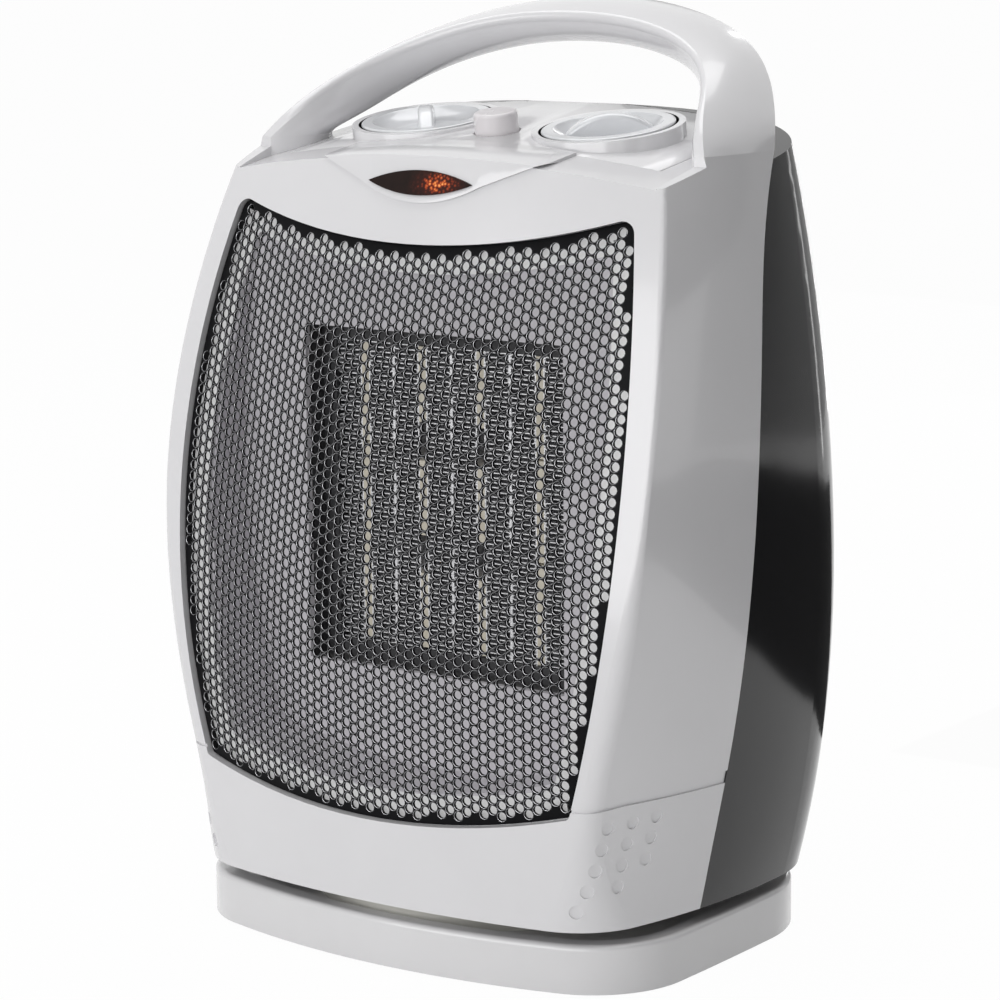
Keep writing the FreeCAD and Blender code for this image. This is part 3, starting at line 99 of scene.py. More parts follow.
# %% [markdown]
# ## Floor and white room
#
# The heater stands on a seamless white sheet, so bright that only a trace of shadow is left. Turning
# the lamps up until the sheet burns out would burn the pale shell too. Instead the room answers
# differently to different rays: to the camera, in mirrors and through lenses it is plain white, and
# everything else sees the soft grey that lights the object at a plain level. The cloths further down
# keep that white off the black parts.

# %% Helpers for node trees
def set_inputs(tree, node, inputs):
    """Give each input a plain value, or a link where the value is another node's output."""
    for key, value in inputs.items():
        if isinstance(value, bpy.types.NodeSocket):
            tree.links.new(value, node.inputs[key])
        else:
            node.inputs[key].default_value = value


def add_node(tree, kind, inputs=None, **settings):
    """Add a node, set its attributes and give it its inputs."""
    node = tree.nodes.new(kind)
    for key, value in settings.items():
        setattr(node, key, value)
    set_inputs(tree, node, inputs or {})
    return node


def calculate(tree, operation, first, second=0.0):
    """Output of a math node on two values or outputs."""
    return add_node(tree, "ShaderNodeMath", {0: first, 1: second}, operation=operation).outputs[0]


def empty_tree(owner):
    """Switch nodes on and clear what Blender puts there."""
    owner.use_nodes = True
    owner.node_tree.nodes.clear()
    return owner.node_tree


def show_white_to(tree, lit_shader, white_shader, target):
    """Mix: camera, mirror and lens rays get the white shader, all the others the lit one."""
    path = add_node(tree, "ShaderNodeLightPath")
    seen = calculate(tree, "MAXIMUM", path.outputs["Is Camera Ray"], path.outputs["Is Glossy Ray"])
    seen = calculate(tree, "MAXIMUM", seen, path.outputs["Is Transmission Ray"])
    mix = add_node(tree, "ShaderNodeMixShader", {0: seen, 1: lit_shader, 2: white_shader})
    tree.links.new(mix.outputs[0], target)


# %% White room
WHITE = (1, 1, 1, 1)
ROOM_LIGHT = 0.25
scene = bpy.context.scene
scene.view_settings.view_transform = "Standard"
world = bpy.data.worlds.new("white room")
scene.world = world
tree = empty_tree(world)
soft = add_node(tree, "ShaderNodeBackground", {"Color": WHITE, "Strength": ROOM_LIGHT})
white = add_node(tree, "ShaderNodeBackground", {"Color": WHITE, "Strength": 1.0})
room_out = add_node(tree, "ShaderNodeOutputWorld")
show_white_to(tree, soft.outputs[0], white.outputs[0], room_out.inputs["Surface"])
print("room light", ROOM_LIGHT)

# %% Floor sheet
FLOOR_SHOWN = 0.975    # how much of the sheet is plain white to the eye; the rest keeps the shadow
FLOOR_REACH = 40.0     # metres from the middle to each side, so that its edge is out of sight
PAPER = (0.9, 0.9, 0.9, 1)


def staged_sheet(name, corners, material):
    """Four-cornered sheet that belongs to the room and not to the heater."""
    mesh = bpy.data.meshes.new(name)
    mesh.from_pydata(corners, [], [(0, 1, 2, 3)])
    mesh.materials.append(material)
    sheet = bpy.data.objects.new(name, mesh)
    scene.collection.objects.link(sheet)
    return sheet


def lying(x0, x1, y0, y1, z=0.0):
    """Corners of a sheet that lies flat."""
    return [(x0, y0, z), (x1, y0, z), (x1, y1, z), (x0, y1, z)]


def white_paper():
    material = bpy.data.materials.new("white sheet")
    tree = empty_tree(material)
    paper = add_node(tree, "ShaderNodeBsdfDiffuse", {"Color": PAPER})
    glow = add_node(tree, "ShaderNodeEmission", {"Color": WHITE, "Strength": 1.0})
    shown = add_node(tree, "ShaderNodeMixShader", {0: FLOOR_SHOWN, 1: paper.outputs[0], 2: glow.outputs[0]})
    out = add_node(tree, "ShaderNodeOutputMaterial")
    show_white_to(tree, paper.outputs[0], shown.outputs[0], out.inputs["Surface"])
    return material


floor_corners = lying(-FLOOR_REACH, FLOOR_REACH, -FLOOR_REACH, FLOOR_REACH)
floor = staged_sheet("floor_sheet", floor_corners, white_paper())
print("floor", floor.dimensions[:2])

# %% [markdown]
# ## Lamps
#
# A large soft box stands before the heater and gives the front its even light, and one overhead
# lights the top and the handle. Two narrow strips behind the heater draw the bright upright lines
# down its black back corner. Area lamps are used for all, because a glossy shell shows the lamp's own
# shape.
#
# Glossy plastic is lit as much by what it mirrors, and the room is white all round. So three cloths
# stand in it: a black flag beside the heater, which lets its right side fall to a middle grey, a pale
# grey one behind, and a dark mat on the floor that the lower side mirrors. Strips and cloths are
# hidden from the camera.

# %% Soft boxes
HEATER_MIDDLE = (0, 0, 0.12)


def soft_box(name, place, aim, size, power):
    """Oblong area lamp; size is its width and height in metres, and power is in watts."""
    lamp = bpy.data.lights.new(name, "AREA")
    lamp.shape = "RECTANGLE"
    lamp.size, lamp.size_y = size
    lamp.energy = power
    box = bpy.data.objects.new(name, lamp)
    scene.collection.objects.link(box)
    box.location = place
    box.rotation_mode = "QUATERNION"
    box.rotation_quaternion = (Vector(aim) - Vector(place)).to_track_quat("-Z", "Y")
    return box


def strip_at(name, bearing, away, height, size, power):
    """Upright strip at a bearing round the heater, in degrees from its front towards its right."""
    turn = math.radians(bearing)
    place = (away * math.sin(turn), -away * math.cos(turn), height)
    strip = soft_box(name, place, HEATER_MIDDLE, size, power)
    strip.visible_camera = False
    return strip


lamps = [soft_box("front_soft_box", (-0.05, -1.6, 0.25), HEATER_MIDDLE, (2.0, 1.5), 21.0),
         soft_box("top_soft_box", (-0.1, 0.1, 1.3), (0, 0, 0.2), (1.3, 1.3), 10.2),
         strip_at("back_strip", 166, 1.0, 0.25, (0.05, 0.9), 0.35),
         strip_at("rim_strip", 196, 1.0, 0.25, (0.04, 0.9), 0.45)]
print("lamps:", [lamp.name for lamp in lamps])

# %% Cloths
def cloth(name, corners, grey):
    """Sheet hidden from the camera, that the glossy shell mirrors and no light passes."""
    material = bpy.data.materials.new(name)
    tree = empty_tree(material)
    weave = add_node(tree, "ShaderNodeBsdfDiffuse", {"Color": (grey, grey, grey, 1)})
    add_node(tree, "ShaderNodeOutputMaterial", {"Surface": weave.outputs[0]})
    piece = staged_sheet(name, corners, material)
    piece.visible_camera = False
    return piece


def upright(bearing, away, low, high, width):
    """Corners of an upright cloth that faces the heater from a bearing."""
    turn = math.radians(bearing)
    middle = Vector((away * math.sin(turn), -away * math.cos(turn), 0))
    along = Vector((math.cos(turn), math.sin(turn), 0)) * width / 2
    foot, top = Vector((0, 0, low)), Vector((0, 0, high))
    return [middle - along + foot, middle + along + foot, middle + along + top, middle - along + top]


cloths = [cloth("side_flag", upright(95, 0.55, 0.26, 1.2, 0.9), 0.01),
          cloth("back_flag", upright(170, 1.2, 0.0, 0.6, 2.2), 0.8),
          cloth("dark_mat", lying(0.0, 1.0, 0.22, 0.85, 1 * MM), 0.08)]
print("cloths:", [piece.name for piece in cloths])

# %% [markdown]
# ## Surfaces that more than one finish needs
#
# Moulded plastic is never a single flat value. It carries a faint ripple from the mould, its gloss
# changes where hands touch it, and dust settles on what faces up. These could be painted, but
# procedural noise in object space needs no unwrapping. Each effect is a node group with its own
# inputs, built once here, and every material places it with its own values.

# %% Helper that builds a node group
def effect_group(name, inputs, outputs):
    """A shader node group whose inputs and outputs are plain numbers; returns it and both ends."""
    group = bpy.data.node_groups.new(name, "ShaderNodeTree")
    for label, value in inputs.items():
        socket = group.interface.new_socket(label, in_out="INPUT", socket_type="NodeSocketFloat")
        socket.default_value = value
    for label in outputs:
        group.interface.new_socket(label, in_out="OUTPUT", socket_type="NodeSocketFloat")
    return group, group.nodes.new("NodeGroupInput"), group.nodes.new("NodeGroupOutput")


def noise_in(group, scale, detail=3.0, roughness=0.5):
    """Value of a noise in object space; its scale is a number or a socket."""
    place = add_node(group, "ShaderNodeTexCoord")
    noise = add_node(group, "ShaderNodeTexNoise", {"Vector": place.outputs["Object"], "Scale": scale,
                                                   "Detail": detail, "Roughness": roughness})
    return noise.outputs["Fac"]


# %% Moulded skin: faint ripple and uneven gloss
def moulded_skin():
    group, given, out = effect_group(
        "moulded skin", {"Ripple Scale": 60.0, "Grain Scale": 2500.0, "Grain Share": 0.3,
                         "Gloss Low": 0.15, "Gloss High": 0.25, "Patch Scale": 35.0},
        ["Height", "Roughness", "Patch"])
    ripple = noise_in(group, given.outputs["Ripple Scale"], detail=1.0)
    grain = noise_in(group, given.outputs["Grain Scale"], detail=2.0)
    patch = noise_in(group, given.outputs["Patch Scale"], detail=4.0, roughness=0.6)
    blend = add_node(group, "ShaderNodeMix", {0: given.outputs["Grain Share"], 2: ripple, 3: grain})
    gloss = add_node(group, "ShaderNodeMapRange", {"Value": patch, "To Min": given.outputs["Gloss Low"],
                                                   "To Max": given.outputs["Gloss High"]})
    set_inputs(group, out, {"Height": blend.outputs[0], "Roughness": gloss.outputs["Result"],
                            "Patch": patch})
    return group


# %% Settled dust: a mask on what faces up
def settled_dust():
    group, given, out = effect_group("settled dust", {"Amount": 0.1, "Fleck Scale": 700.0}, ["Mask"])
    facing = add_node(group, "ShaderNodeNewGeometry")
    split = add_node(group, "ShaderNodeSeparateXYZ", {0: facing.outputs["Normal"]})
    fleck = noise_in(group, given.outputs["Fleck Scale"], detail=5.0, roughness=0.7)
    up = add_node(group, "ShaderNodeMapRange", {"Value": split.outputs["Z"], "From Min": 0.5})
    specks = add_node(group, "ShaderNodeMapRange", {"Value": fleck, "From Min": 0.45, "From Max": 0.75})
    settled = calculate(group, "MULTIPLY", up.outputs["Result"], specks.outputs["Result"])
    set_inputs(group, out, {"Mask": calculate(group, "MULTIPLY", settled, given.outputs["Amount"])})
    return group


# %% Drawn metal: long scratches along one axis
def drawn_metal():
    group, given, out = effect_group("drawn metal", {"Line Scale": 900.0, "Stretch": 0.03},
                                     ["Lines", "Stain"])
    place = add_node(group, "ShaderNodeTexCoord")
    along = add_node(group, "ShaderNodeCombineXYZ", {"X": 1.0, "Y": given.outputs["Stretch"], "Z": 1.0})
    squeeze = add_node(group, "ShaderNodeVectorMath", {0: place.outputs["Object"], 1: along.outputs[0]},
                       operation="MULTIPLY")
    lines = add_node(group, "ShaderNodeTexNoise", {"Vector": squeeze.outputs[0], "Detail": 3.0,
                                                   "Scale": given.outputs["Line Scale"]})
    stain = noise_in(group, 45.0, detail=5.0, roughness=0.6)
    set_inputs(group, out, {"Lines": lines.outputs["Fac"], "Stain": stain})
    return group


# %% Well shade: painted shade in the narrow round gap between each dial and the panel
DIAL_TILT = math.radians(9.0)
WELL_DEPTH = 8 * MM


def well_shade():
    group, given, out = effect_group(
        "well shade", {"Centre X": 30 * MM, "Centre Y": 9 * MM, "Centre Z": 220 * MM, "From": 18 * MM,
                       "To": 19 * MM, "Below": 2 * MM}, ["Mask"])
    place = add_node(group, "ShaderNodeTexCoord")
    split = add_node(group, "ShaderNodeSeparateXYZ", {0: place.outputs["Object"]})
    folded = add_node(group, "ShaderNodeCombineXYZ", {
        "X": calculate(group, "ABSOLUTE", split.outputs["X"]),
        "Y": split.outputs["Y"], "Z": split.outputs["Z"]})
    centre = add_node(group, "ShaderNodeCombineXYZ", {
        axis: given.outputs["Centre " + axis] for axis in "XYZ"})
    from_dial = add_node(group, "ShaderNodeVectorMath", {0: folded.outputs[0], 1: centre.outputs[0]},
                         operation="SUBTRACT")
    level = add_node(group, "ShaderNodeVectorRotate", {"Vector": from_dial.outputs[0],
                                                       "Angle": -DIAL_TILT}, rotation_type="X_AXIS")
    local = add_node(group, "ShaderNodeSeparateXYZ", {0: level.outputs[0]})
    flat = add_node(group, "ShaderNodeCombineXYZ", {axis: local.outputs[axis] for axis in "XY"})
    radius = add_node(group, "ShaderNodeVectorMath", {0: flat.outputs[0]}, operation="LENGTH")
    mask = calculate(group, "GREATER_THAN", radius.outputs["Value"], given.outputs["From"])
    for test, value, limit in (("LESS_THAN", radius.outputs["Value"], given.outputs["To"]),
                               ("LESS_THAN", local.outputs["Z"], given.outputs["Below"]),
                               ("GREATER_THAN", local.outputs["Z"], -WELL_DEPTH)):
        mask = calculate(group, "MULTIPLY", mask, calculate(group, test, value, limit))
    set_inputs(group, out, {"Mask": mask})
    return group


groups = {"skin": moulded_skin(), "dust": settled_dust(), "drawn": drawn_metal(), "well": well_shade()}
print("node groups:", sorted(groups))

# %% [markdown]
# ## Plastic finishes
#
# All the plastics share one recipe: a Principled shader, whose colour drifts by a few parts in a
# hundred, whose roughness follows the skin group, and whose normal carries the mould's ripple. What
# differs is only a handful of values, so one function makes them all. A clear coat on top gives the
# sharp mirror image of the soft boxes that new glossy plastic has.

# %% Helper: start a material
def start_material(name):
    """A material with a Principled shader; returns it, its tree and the shader."""
    material = bpy.data.materials.new(name)
    tree = empty_tree(material)
    shader = add_node(tree, "ShaderNodeBsdfPrincipled")
    add_node(tree, "ShaderNodeOutputMaterial", {"Surface": shader.outputs[0]})
    return material, tree, shader


def place_group(tree, key, **values):
    """Put a shared effect into a material; an underscore in a name stands for a space."""
    inputs = {label.replace("_", " "): value for label, value in values.items()}
    node = add_node(tree, "ShaderNodeGroup", node_tree=groups[key])
    set_inputs(tree, node, inputs)
    return node


def mix_colours(tree, mask, first, second):
    """Mix two colours by a mask; a colour is its red, green and blue, or another node's output."""
    mix = add_node(tree, "ShaderNodeMix", data_type="RGBA")
    for key, colour in ((6, first), (7, second)):
        is_output = isinstance(colour, bpy.types.NodeSocket)
        set_inputs(tree, mix, {key: colour if is_output else (*colour, 1)})
    set_inputs(tree, mix, {"Factor": mask})
    return mix.outputs[2]


def raise_bump(tree, shader, height, depth):
    bump = add_node(tree, "ShaderNodeBump", {"Strength": 1.0, "Distance": depth, "Height": height})
    set_inputs(tree, shader, {"Normal": bump.outputs[0]})


def shade(colour, by):
    return tuple(min(1.0, c * by) for c in colour)


# %% Plastic recipe
DUST_TINT = (0.55, 0.53, 0.50)
# painted shade: near black, laid into the narrow gap round each dial, where little light reaches
WELL_SHADE_COLOUR = (0.004, 0.004, 0.005)
COAT_GLOSS = 0.04


def plastic(name, colour, gloss=(0.15, 0.25), coat=0.0, metallic=0.0, ripple=60.0, grain=0.2,
            depth=0.02 * MM, dust=0.05, drift=0.03, mirror=0.5, well=None):
    """Finish of a moulding; well gives the inputs of the painted well shade, where the piece has a dial."""
    material, tree, shader = start_material(name)
    skin = place_group(tree, "skin", Ripple_Scale=ripple, Grain_Share=grain,
                       Gloss_Low=gloss[0], Gloss_High=gloss[1])
    body = mix_colours(tree, skin.outputs["Patch"], shade(colour, 1 - drift), shade(colour, 1 + drift))
    dust_mask = place_group(tree, "dust", Amount=dust)
    shown = mix_colours(tree, dust_mask.outputs["Mask"], body, DUST_TINT)
    if well:
        # painted shade: the gap between the dial and the panel is coloured near black
        gap = place_group(tree, "well", **well)
        shown = mix_colours(tree, gap.outputs["Mask"], shown, WELL_SHADE_COLOUR)
    set_inputs(tree, shader, {"Base Color": shown, "Roughness": skin.outputs["Roughness"],
                              "Metallic": metallic, "Specular IOR Level": mirror,
                              "Coat Weight": coat, "Coat Roughness": COAT_GLOSS})
    raise_bump(tree, shader, skin.outputs["Height"], depth)
    return material


SHELL_TINT = (0.735, 0.73, 0.745)
DIAL_R = 18.2 * MM
dial_axis = {"Centre_X": 30.4 * MM, "Centre_Y": 9.0 * MM, "Centre_Z": 219.5 * MM}
panel_gap = {**dial_axis, "From": 0.0, "To": DIAL_R + 0.76 * MM, "Below": 3.0 * MM}
dial_gap = {**dial_axis, "From": DIAL_R - 0.1 * MM, "To": DIAL_R + 1 * MM, "Below": 1.7 * MM}
finish = {
    "front_shell_plastic": plastic("silver white shell", SHELL_TINT, (0.16, 0.24), coat=0.4,
                                   metallic=0.03, ripple=25.0, grain=0.05, depth=0.05 * MM, dust=0.02,
                                   well=panel_gap),
    "base_plastic": plastic("silver white base", (0.73, 0.725, 0.735), (0.18, 0.28), coat=0.4,
                            metallic=0.03, ripple=25.0, grain=0.05, depth=0.05 * MM, dust=0.03),
    "rear_shell_plastic": plastic("gloss black rear shell", (0.010, 0.010, 0.011), (0.08, 0.13),
                                  ripple=25.0, grain=0.05, depth=0.05 * MM, dust=0.01),
    "knob_plastic": plastic("silvery dial", (0.70, 0.71, 0.73), (0.16, 0.24), coat=0.4,
                            metallic=0.1, grain=0.1, depth=0.01 * MM, dust=0.02, well=dial_gap),
    # painted light: the lip is the shell's white, painted brighter to stand in for the light it catches
    "lip_plastic_painted_bright": plastic("white lip painted bright", (0.97, 0.965, 0.975), (0.3, 0.4), grain=0.3,
                           depth=0.01 * MM, dust=0.0),
    "button_plastic": plastic("pinkish white button", (0.75, 0.72, 0.735), (0.22, 0.32), coat=0.2,
                              grain=0.3, depth=0.01 * MM, dust=0.02),
    "inner_plastic": plastic("dark inner plastic", (0.035, 0.035, 0.038), (0.42, 0.55), grain=0.8,
                             depth=0.03 * MM, dust=0.25),
    "pale_nylon": plastic("white nylon", (0.72, 0.71, 0.66), (0.38, 0.5), grain=0.6,
                          depth=0.02 * MM, dust=0.1),
    "foot_rubber": plastic("soft black rubber", (0.025, 0.025, 0.025), (0.7, 0.85), grain=0.9,
                           depth=0.05 * MM, dust=0.3),
}
print("plastics:", sorted(finish))

# %% [markdown]
# ## Painted and bare metals
#
# The grille and the plate behind it are stove-enamelled sheet: a thin, slightly orange-peeled paint.
# Only the crest round each hole of the grille is bright: a painted highlight, a bright metal colour
# that stands in for the light the glossy crest catches. The frame, the shafts and the screws are zinc
# plated, the fins bare aluminium, the windings copper under varnish. Bare metals get their fine drawn
# lines from the drawn-metal group, which changes roughness more than colour, as real drawing marks do.

# %% Painted sheet
def painted_sheet(name, colour, gloss, coat=0.0, dust=0.05, mirror=0.5, metallic=0.0):
    return plastic(name, colour, gloss, coat=coat, metallic=metallic, ripple=900.0, grain=0.3,
                   depth=0.015 * MM, dust=dust, drift=0.05, mirror=mirror)


# %% Bare metal recipe
def bare_metal(name, colour, gloss, lines=900.0, stretch=0.03, tarnish=0.15):
    material, tree, shader = start_material(name)
    drawn = place_group(tree, "drawn", Line_Scale=lines, Stretch=stretch)
    dark, light = shade(colour, 1 - tarnish), shade(colour, 1 + tarnish / 3)
    body = mix_colours(tree, drawn.outputs["Stain"], dark, light)
    rough = add_node(tree, "ShaderNodeMapRange", {"Value": drawn.outputs["Lines"], "To Min": gloss[0],
                                                  "To Max": gloss[1]})
    set_inputs(tree, shader, {"Base Color": body, "Roughness": rough.outputs[0], "Metallic": 1.0})
    raise_bump(tree, shader, drawn.outputs["Lines"], 0.01 * MM)
    return material


finish.update({
    "grille_steel": painted_sheet("black enamelled grille", (0.008, 0.008, 0.009), (0.28, 0.38),
                                  dust=0.0, mirror=0.04),
    # painted highlight: the crest round each hole gets a bright metal colour in place of the highlight on its
    # black enamel
    "hole_rim_painted_highlight": painted_sheet("hole rims painted bright as a highlight", (0.60, 0.60, 0.62), (0.15, 0.25), dust=0.0,
                                    metallic=0.85),
    "baffle_steel": painted_sheet("lilac grey enamelled plate", (0.68, 0.66, 0.695), (0.35, 0.5),
                                  dust=0.0),
    "laminations": painted_sheet("varnished laminations", (0.09, 0.085, 0.085), (0.3, 0.45), coat=0.3),
    "sheet_steel": bare_metal("zinc plated steel", (0.60, 0.60, 0.62), (0.25, 0.45)),
    "fin_aluminium": bare_metal("rolled aluminium fins", (0.90, 0.90, 0.92), (0.3, 0.48),
                                lines=1500.0, tarnish=0.05),
    "copper": bare_metal("varnished copper wire", (0.62, 0.24, 0.09), (0.2, 0.35), stretch=1.0),
    "brass": bare_metal("plain brass", (0.66, 0.49, 0.19), (0.22, 0.4)),
})
print("metals and paints added:", len(finish), "finishes")

# %% [markdown]
# ## Ceramic rows
#
# The heating stones are pressed ceramic, cream and dull, with a fine speckle and slightly browned
# faces where the current enters. A noise at two scales gives both: a tight one for the speckle and
# a broad one for the browning.

# %% Ceramic
def ceramic():
    material, tree, shader = start_material("cream heating ceramic")
    skin = place_group(tree, "skin", Ripple_Scale=400.0, Grain_Scale=4000.0, Grain_Share=0.7,
                       Gloss_Low=0.55, Gloss_High=0.75, Patch_Scale=120.0)
    body = mix_colours(tree, skin.outputs["Patch"], (0.60, 0.54, 0.42), (0.86, 0.82, 0.72))
    set_inputs(tree, shader, {"Base Color": body, "Roughness": skin.outputs["Roughness"]})
    raise_bump(tree, shader, skin.outputs["Height"], 0.08 * MM)
    return material


finish["ceramic"] = ceramic()
print("ceramic done")

# %% [markdown]
# ## Lens and lamp
#
# The power light is a neon lamp behind a dark, ribbed lens that is nearly black until it is lit. The
# glow could come from real light carried through the lens, but so little passes that it would take
# a very long render to look calm. Instead the lens itself glows: a mask that fades with the distance
# from the lamp, broken into specks by a cell pattern as the ribs break it, drives its emission.

# %% Speckled glow: a mask round the lamp, broken into cells
def nearness(group, value, centre, reach):
    """1 where a coordinate equals the centre, falling to 0 at the reach on either side."""
    away = calculate(group, "ABSOLUTE", calculate(group, "SUBTRACT", value, centre))
    fade = add_node(group, "ShaderNodeMapRange", {"Value": away, "From Max": reach, "To Min": 1.0,
                                                  "To Max": 0.0})
    return fade.outputs[0]


def speckled_glow():
    group, given, out = effect_group(
        "speckled glow", {"Centre X": 6 * MM, "Reach X": 9 * MM, "Centre Z": 200 * MM, "Reach Z": 3 * MM,
                          "Cell Scale": 1200.0}, ["Mask"])
    place = add_node(group, "ShaderNodeTexCoord")
    split = add_node(group, "ShaderNodeSeparateXYZ", {0: place.outputs["Object"]})
    cells = add_node(group, "ShaderNodeTexVoronoi", {"Vector": place.outputs["Object"],
                                                     "Scale": given.outputs["Cell Scale"]})
    dots = add_node(group, "ShaderNodeMapRange", {"Value": cells.outputs["Distance"], "From Min": 0.1,
                                                  "From Max": 0.7, "To Min": 1.0, "To Max": 0.3})
    across, up = [nearness(group, split.outputs[axis], given.outputs["Centre " + axis],
                           given.outputs["Reach " + axis]) for axis in "XZ"]
    oval = calculate(group, "MULTIPLY", across, up)
    set_inputs(group, out, {"Mask": calculate(group, "MULTIPLY", oval, dots.outputs[0])})
    return group


groups["glow"] = speckled_glow()
print("glow group made")

# %% Lens and lamp finishes
GLOW_STOPS = {0.0: (0, 0, 0), 0.2: (0.04, 0.006, 0.003), 0.42: (0.38, 0.05, 0.012),
              0.62: (0.9, 0.27, 0.06), 0.85: (1.0, 0.62, 0.25)}


def colour_ramp(tree, value, stops):
    """Output of a ramp whose stops are given as place and colour, the first of them at 0."""
    node = add_node(tree, "ShaderNodeValToRGB", {0: value})
    ramp = node.color_ramp
    ramp.elements.remove(ramp.elements[1])
    for place, colour in stops.items():
        stop = ramp.elements.new(place) if place else ramp.elements[0]
        stop.color = (*colour, 1)
    return node.outputs[0]


def dark_lens():
    material, tree, shader = start_material("dark lens")
    low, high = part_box("indicator_lamp")
    skin = place_group(tree, "skin", Ripple_Scale=300.0, Grain_Share=0.1, Gloss_Low=0.03,
                       Gloss_High=0.08, Patch_Scale=200.0)
    glow = place_group(tree, "glow", Centre_X=(low.x + high.x) / 2, Reach_X=9.5 * MM,
                       Centre_Z=(low.z + high.z) / 2, Reach_Z=4.0 * MM, Cell_Scale=1100.0)
    body = mix_colours(tree, skin.outputs["Patch"], (0.008, 0.004, 0.003), (0.02, 0.008, 0.006))
    warm = colour_ramp(tree, glow.outputs["Mask"], GLOW_STOPS)
    set_inputs(tree, shader, {"Base Color": body, "Roughness": skin.outputs["Roughness"],
                              "Specular IOR Level": 0.15, "Emission Color": warm,
                              "Emission Strength": 1.0})
    raise_bump(tree, shader, skin.outputs["Height"], 0.05 * MM)
    return material


def neon_lamp():
    material, tree, shader = start_material("orange neon lamp")
    skin = place_group(tree, "skin", Ripple_Scale=500.0, Gloss_Low=0.1, Gloss_High=0.2)
    body = mix_colours(tree, skin.outputs["Patch"], (0.9, 0.25, 0.04), (1.0, 0.45, 0.10))
    set_inputs(tree, shader, {"Base Color": body, "Roughness": skin.outputs["Roughness"],
                              "Emission Color": body, "Emission Strength": 6.0})
    return material


finish["lens_plastic"] = dark_lens()
finish["lamp_glass"] = neon_lamp()
print("finishes:", len(finish))

# %% [markdown]
# ## Dress the frame
#
# The frame's record says which finish each node takes, so one loop dresses them all. Where a
# moulding's edge catches the eye, as on the panel, the base, the dials and the button, the real one
# is slightly broken. A bevel modifier on the welded mesh gives these edges a small round that
# catches the light.

# %% Give each node its finish
slots = {part["node"]: part["material_slot"] for part in frame["record"]["subparts"]}
for name, node in nodes.items():
    node.data.materials.clear()
    node.data.materials.append(finish[slots[name]])
print("dressed", len(nodes), "nodes")

# %% Break the sharp edges
ROUNDED = {"control_panel": 0.12, "base_shell": 0.6, "thermostat_knob": 0.2, "mode_knob": 0.2,
           "osc_button": 0.2, "cable_gland": 0.4}
WELD_GAP = 0.002 * MM     # corners closer than this are one corner
SHARP = math.radians(32)


def break_edges(node, radius):
    """Join the mesh's shared corners and round its sharp edges by a radius in millimetres."""
    weld = node.modifiers.new("join the faces", "WELD")
    weld.merge_threshold = WELD_GAP
    bevel = node.modifiers.new("broken edges", "BEVEL")
    bevel.width = radius * MM
    bevel.segments = 2
    bevel.limit_method = "ANGLE"
    bevel.angle_limit = SHARP
    bevel.use_clamp_overlap = True
    bevel.harden_normals = False


for name, radius in ROUNDED.items():
    break_edges(nodes[name], radius)
print("edges broken on", len(ROUNDED), "nodes")

# %% [markdown]
# ## Reading shapes back from the frame
#
# The fine pieces have to sit exactly where the solid ones are. Copying sizes by hand would let the
# two drift apart, so everything is read back: the separate solids of a node from its welded mesh,
# and the height of a curved sheet by casting rays at it.

# %% Helpers that read a node's mesh
def welded(node):
    """A bmesh of the node, with the faces' shared corners joined again."""
    shape = bmesh.new()
    shape.from_mesh(node.data)
    bmesh.ops.remove_doubles(shape, verts=shape.verts, dist=WELD_GAP)
    return shape


def solid_boxes(node_name):
    """Lowest and highest corner of each separate solid in a node, sorted by place."""
    shape = welded(nodes[node_name])
    left = set(shape.verts)
    boxes = []
    while left:
        reach = [left.pop()]
        low, high = reach[0].co.copy(), reach[0].co.copy()
        while reach:
            vert = reach.pop()
            low = Vector(map(min, low, vert.co))
            high = Vector(map(max, high, vert.co))
            near = [edge.other_vert(vert) for edge in vert.link_edges]
            fresh = [v for v in near if v in left]
            left.difference_update(fresh)
            reach.extend(fresh)
        boxes.append((low, high))
    shape.free()
    return sorted(boxes, key=lambda b: [round(v, 4) for v in b[0]])


def seat(name, shape, body, slot):
    """Object for a mesh or curve, that rides on a body and takes the finish of a slot."""
    shape.materials.append(finish[slot])
    piece = bpy.data.objects.new(name, shape)
    scene.collection.objects.link(piece)
    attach(piece, body)
    return piece


def new_piece(name, verts, faces, body, slot, smooth=True):
    """Seated piece made from vertices and faces."""
    mesh = bpy.data.meshes.new(name)
    mesh.from_pydata(verts, [], faces)
    if smooth:
        mesh.polygons.foreach_set("use_smooth", [True] * len(mesh.polygons))
    return seat(name, mesh, body, slot)


fin_boxes = solid_boxes("heat_fins")
print("fin stacks:", len(fin_boxes), "each", [round(v / MM, 1) for v in fin_boxes[0][1] - fin_boxes[0][0]])

# %% [markdown]
# ## The punched grille
#
# The grille is black sheet steel with rows of round holes, dished to follow the shell and folded
# back round its edge. A bump map or a transparent pattern would look flat, because the holes show
# their own thickness from the side. A boolean cut of two and a half thousand cylinders is slow and
# fragile. Here the flat pattern is triangulated once with its holes, then lifted on to the dished
# surface. Round each hole lie a narrow bright crest and, inside it, a dark throat that goes down
# through the sheet. Crests and throats are pieces of their own, so that each takes its own finish.

# %% Outline and surface of the dished sheet
FRONT_FACING = 0.05       # a face counts as front when it looks at least this much to the front
FRONT_GAP = 0.05 * MM     # and when it is the first that a ray from the front meets, within this
OUTLINE_STEP = 1.2 * MM
BACKWARDS = Vector((0, 1, 0))


def front_surface(node_name):
    """Ray-casting tree of the node's outer front faces, and their outline in X and Z."""
    shape = welded(nodes[node_name])
    whole = BVHTree.FromBMesh(shape)
    hidden = []
    for face in shape.faces:
        middle = face.calc_center_median()
        hit = whole.ray_cast(Vector((middle.x, -1.0, middle.z)), BACKWARDS)[0]
        seen_first = hit is not None and abs(hit.y - middle.y) < FRONT_GAP
        if face.normal.y > -FRONT_FACING or not seen_first:
            hidden.append(face)
    bmesh.ops.delete(shape, geom=hidden, context="FACES")
    surface = BVHTree.FromBMesh(shape)
    outline = longest_loop([edge for edge in shape.edges if edge.is_boundary])
    shape.free()
    return surface, outline


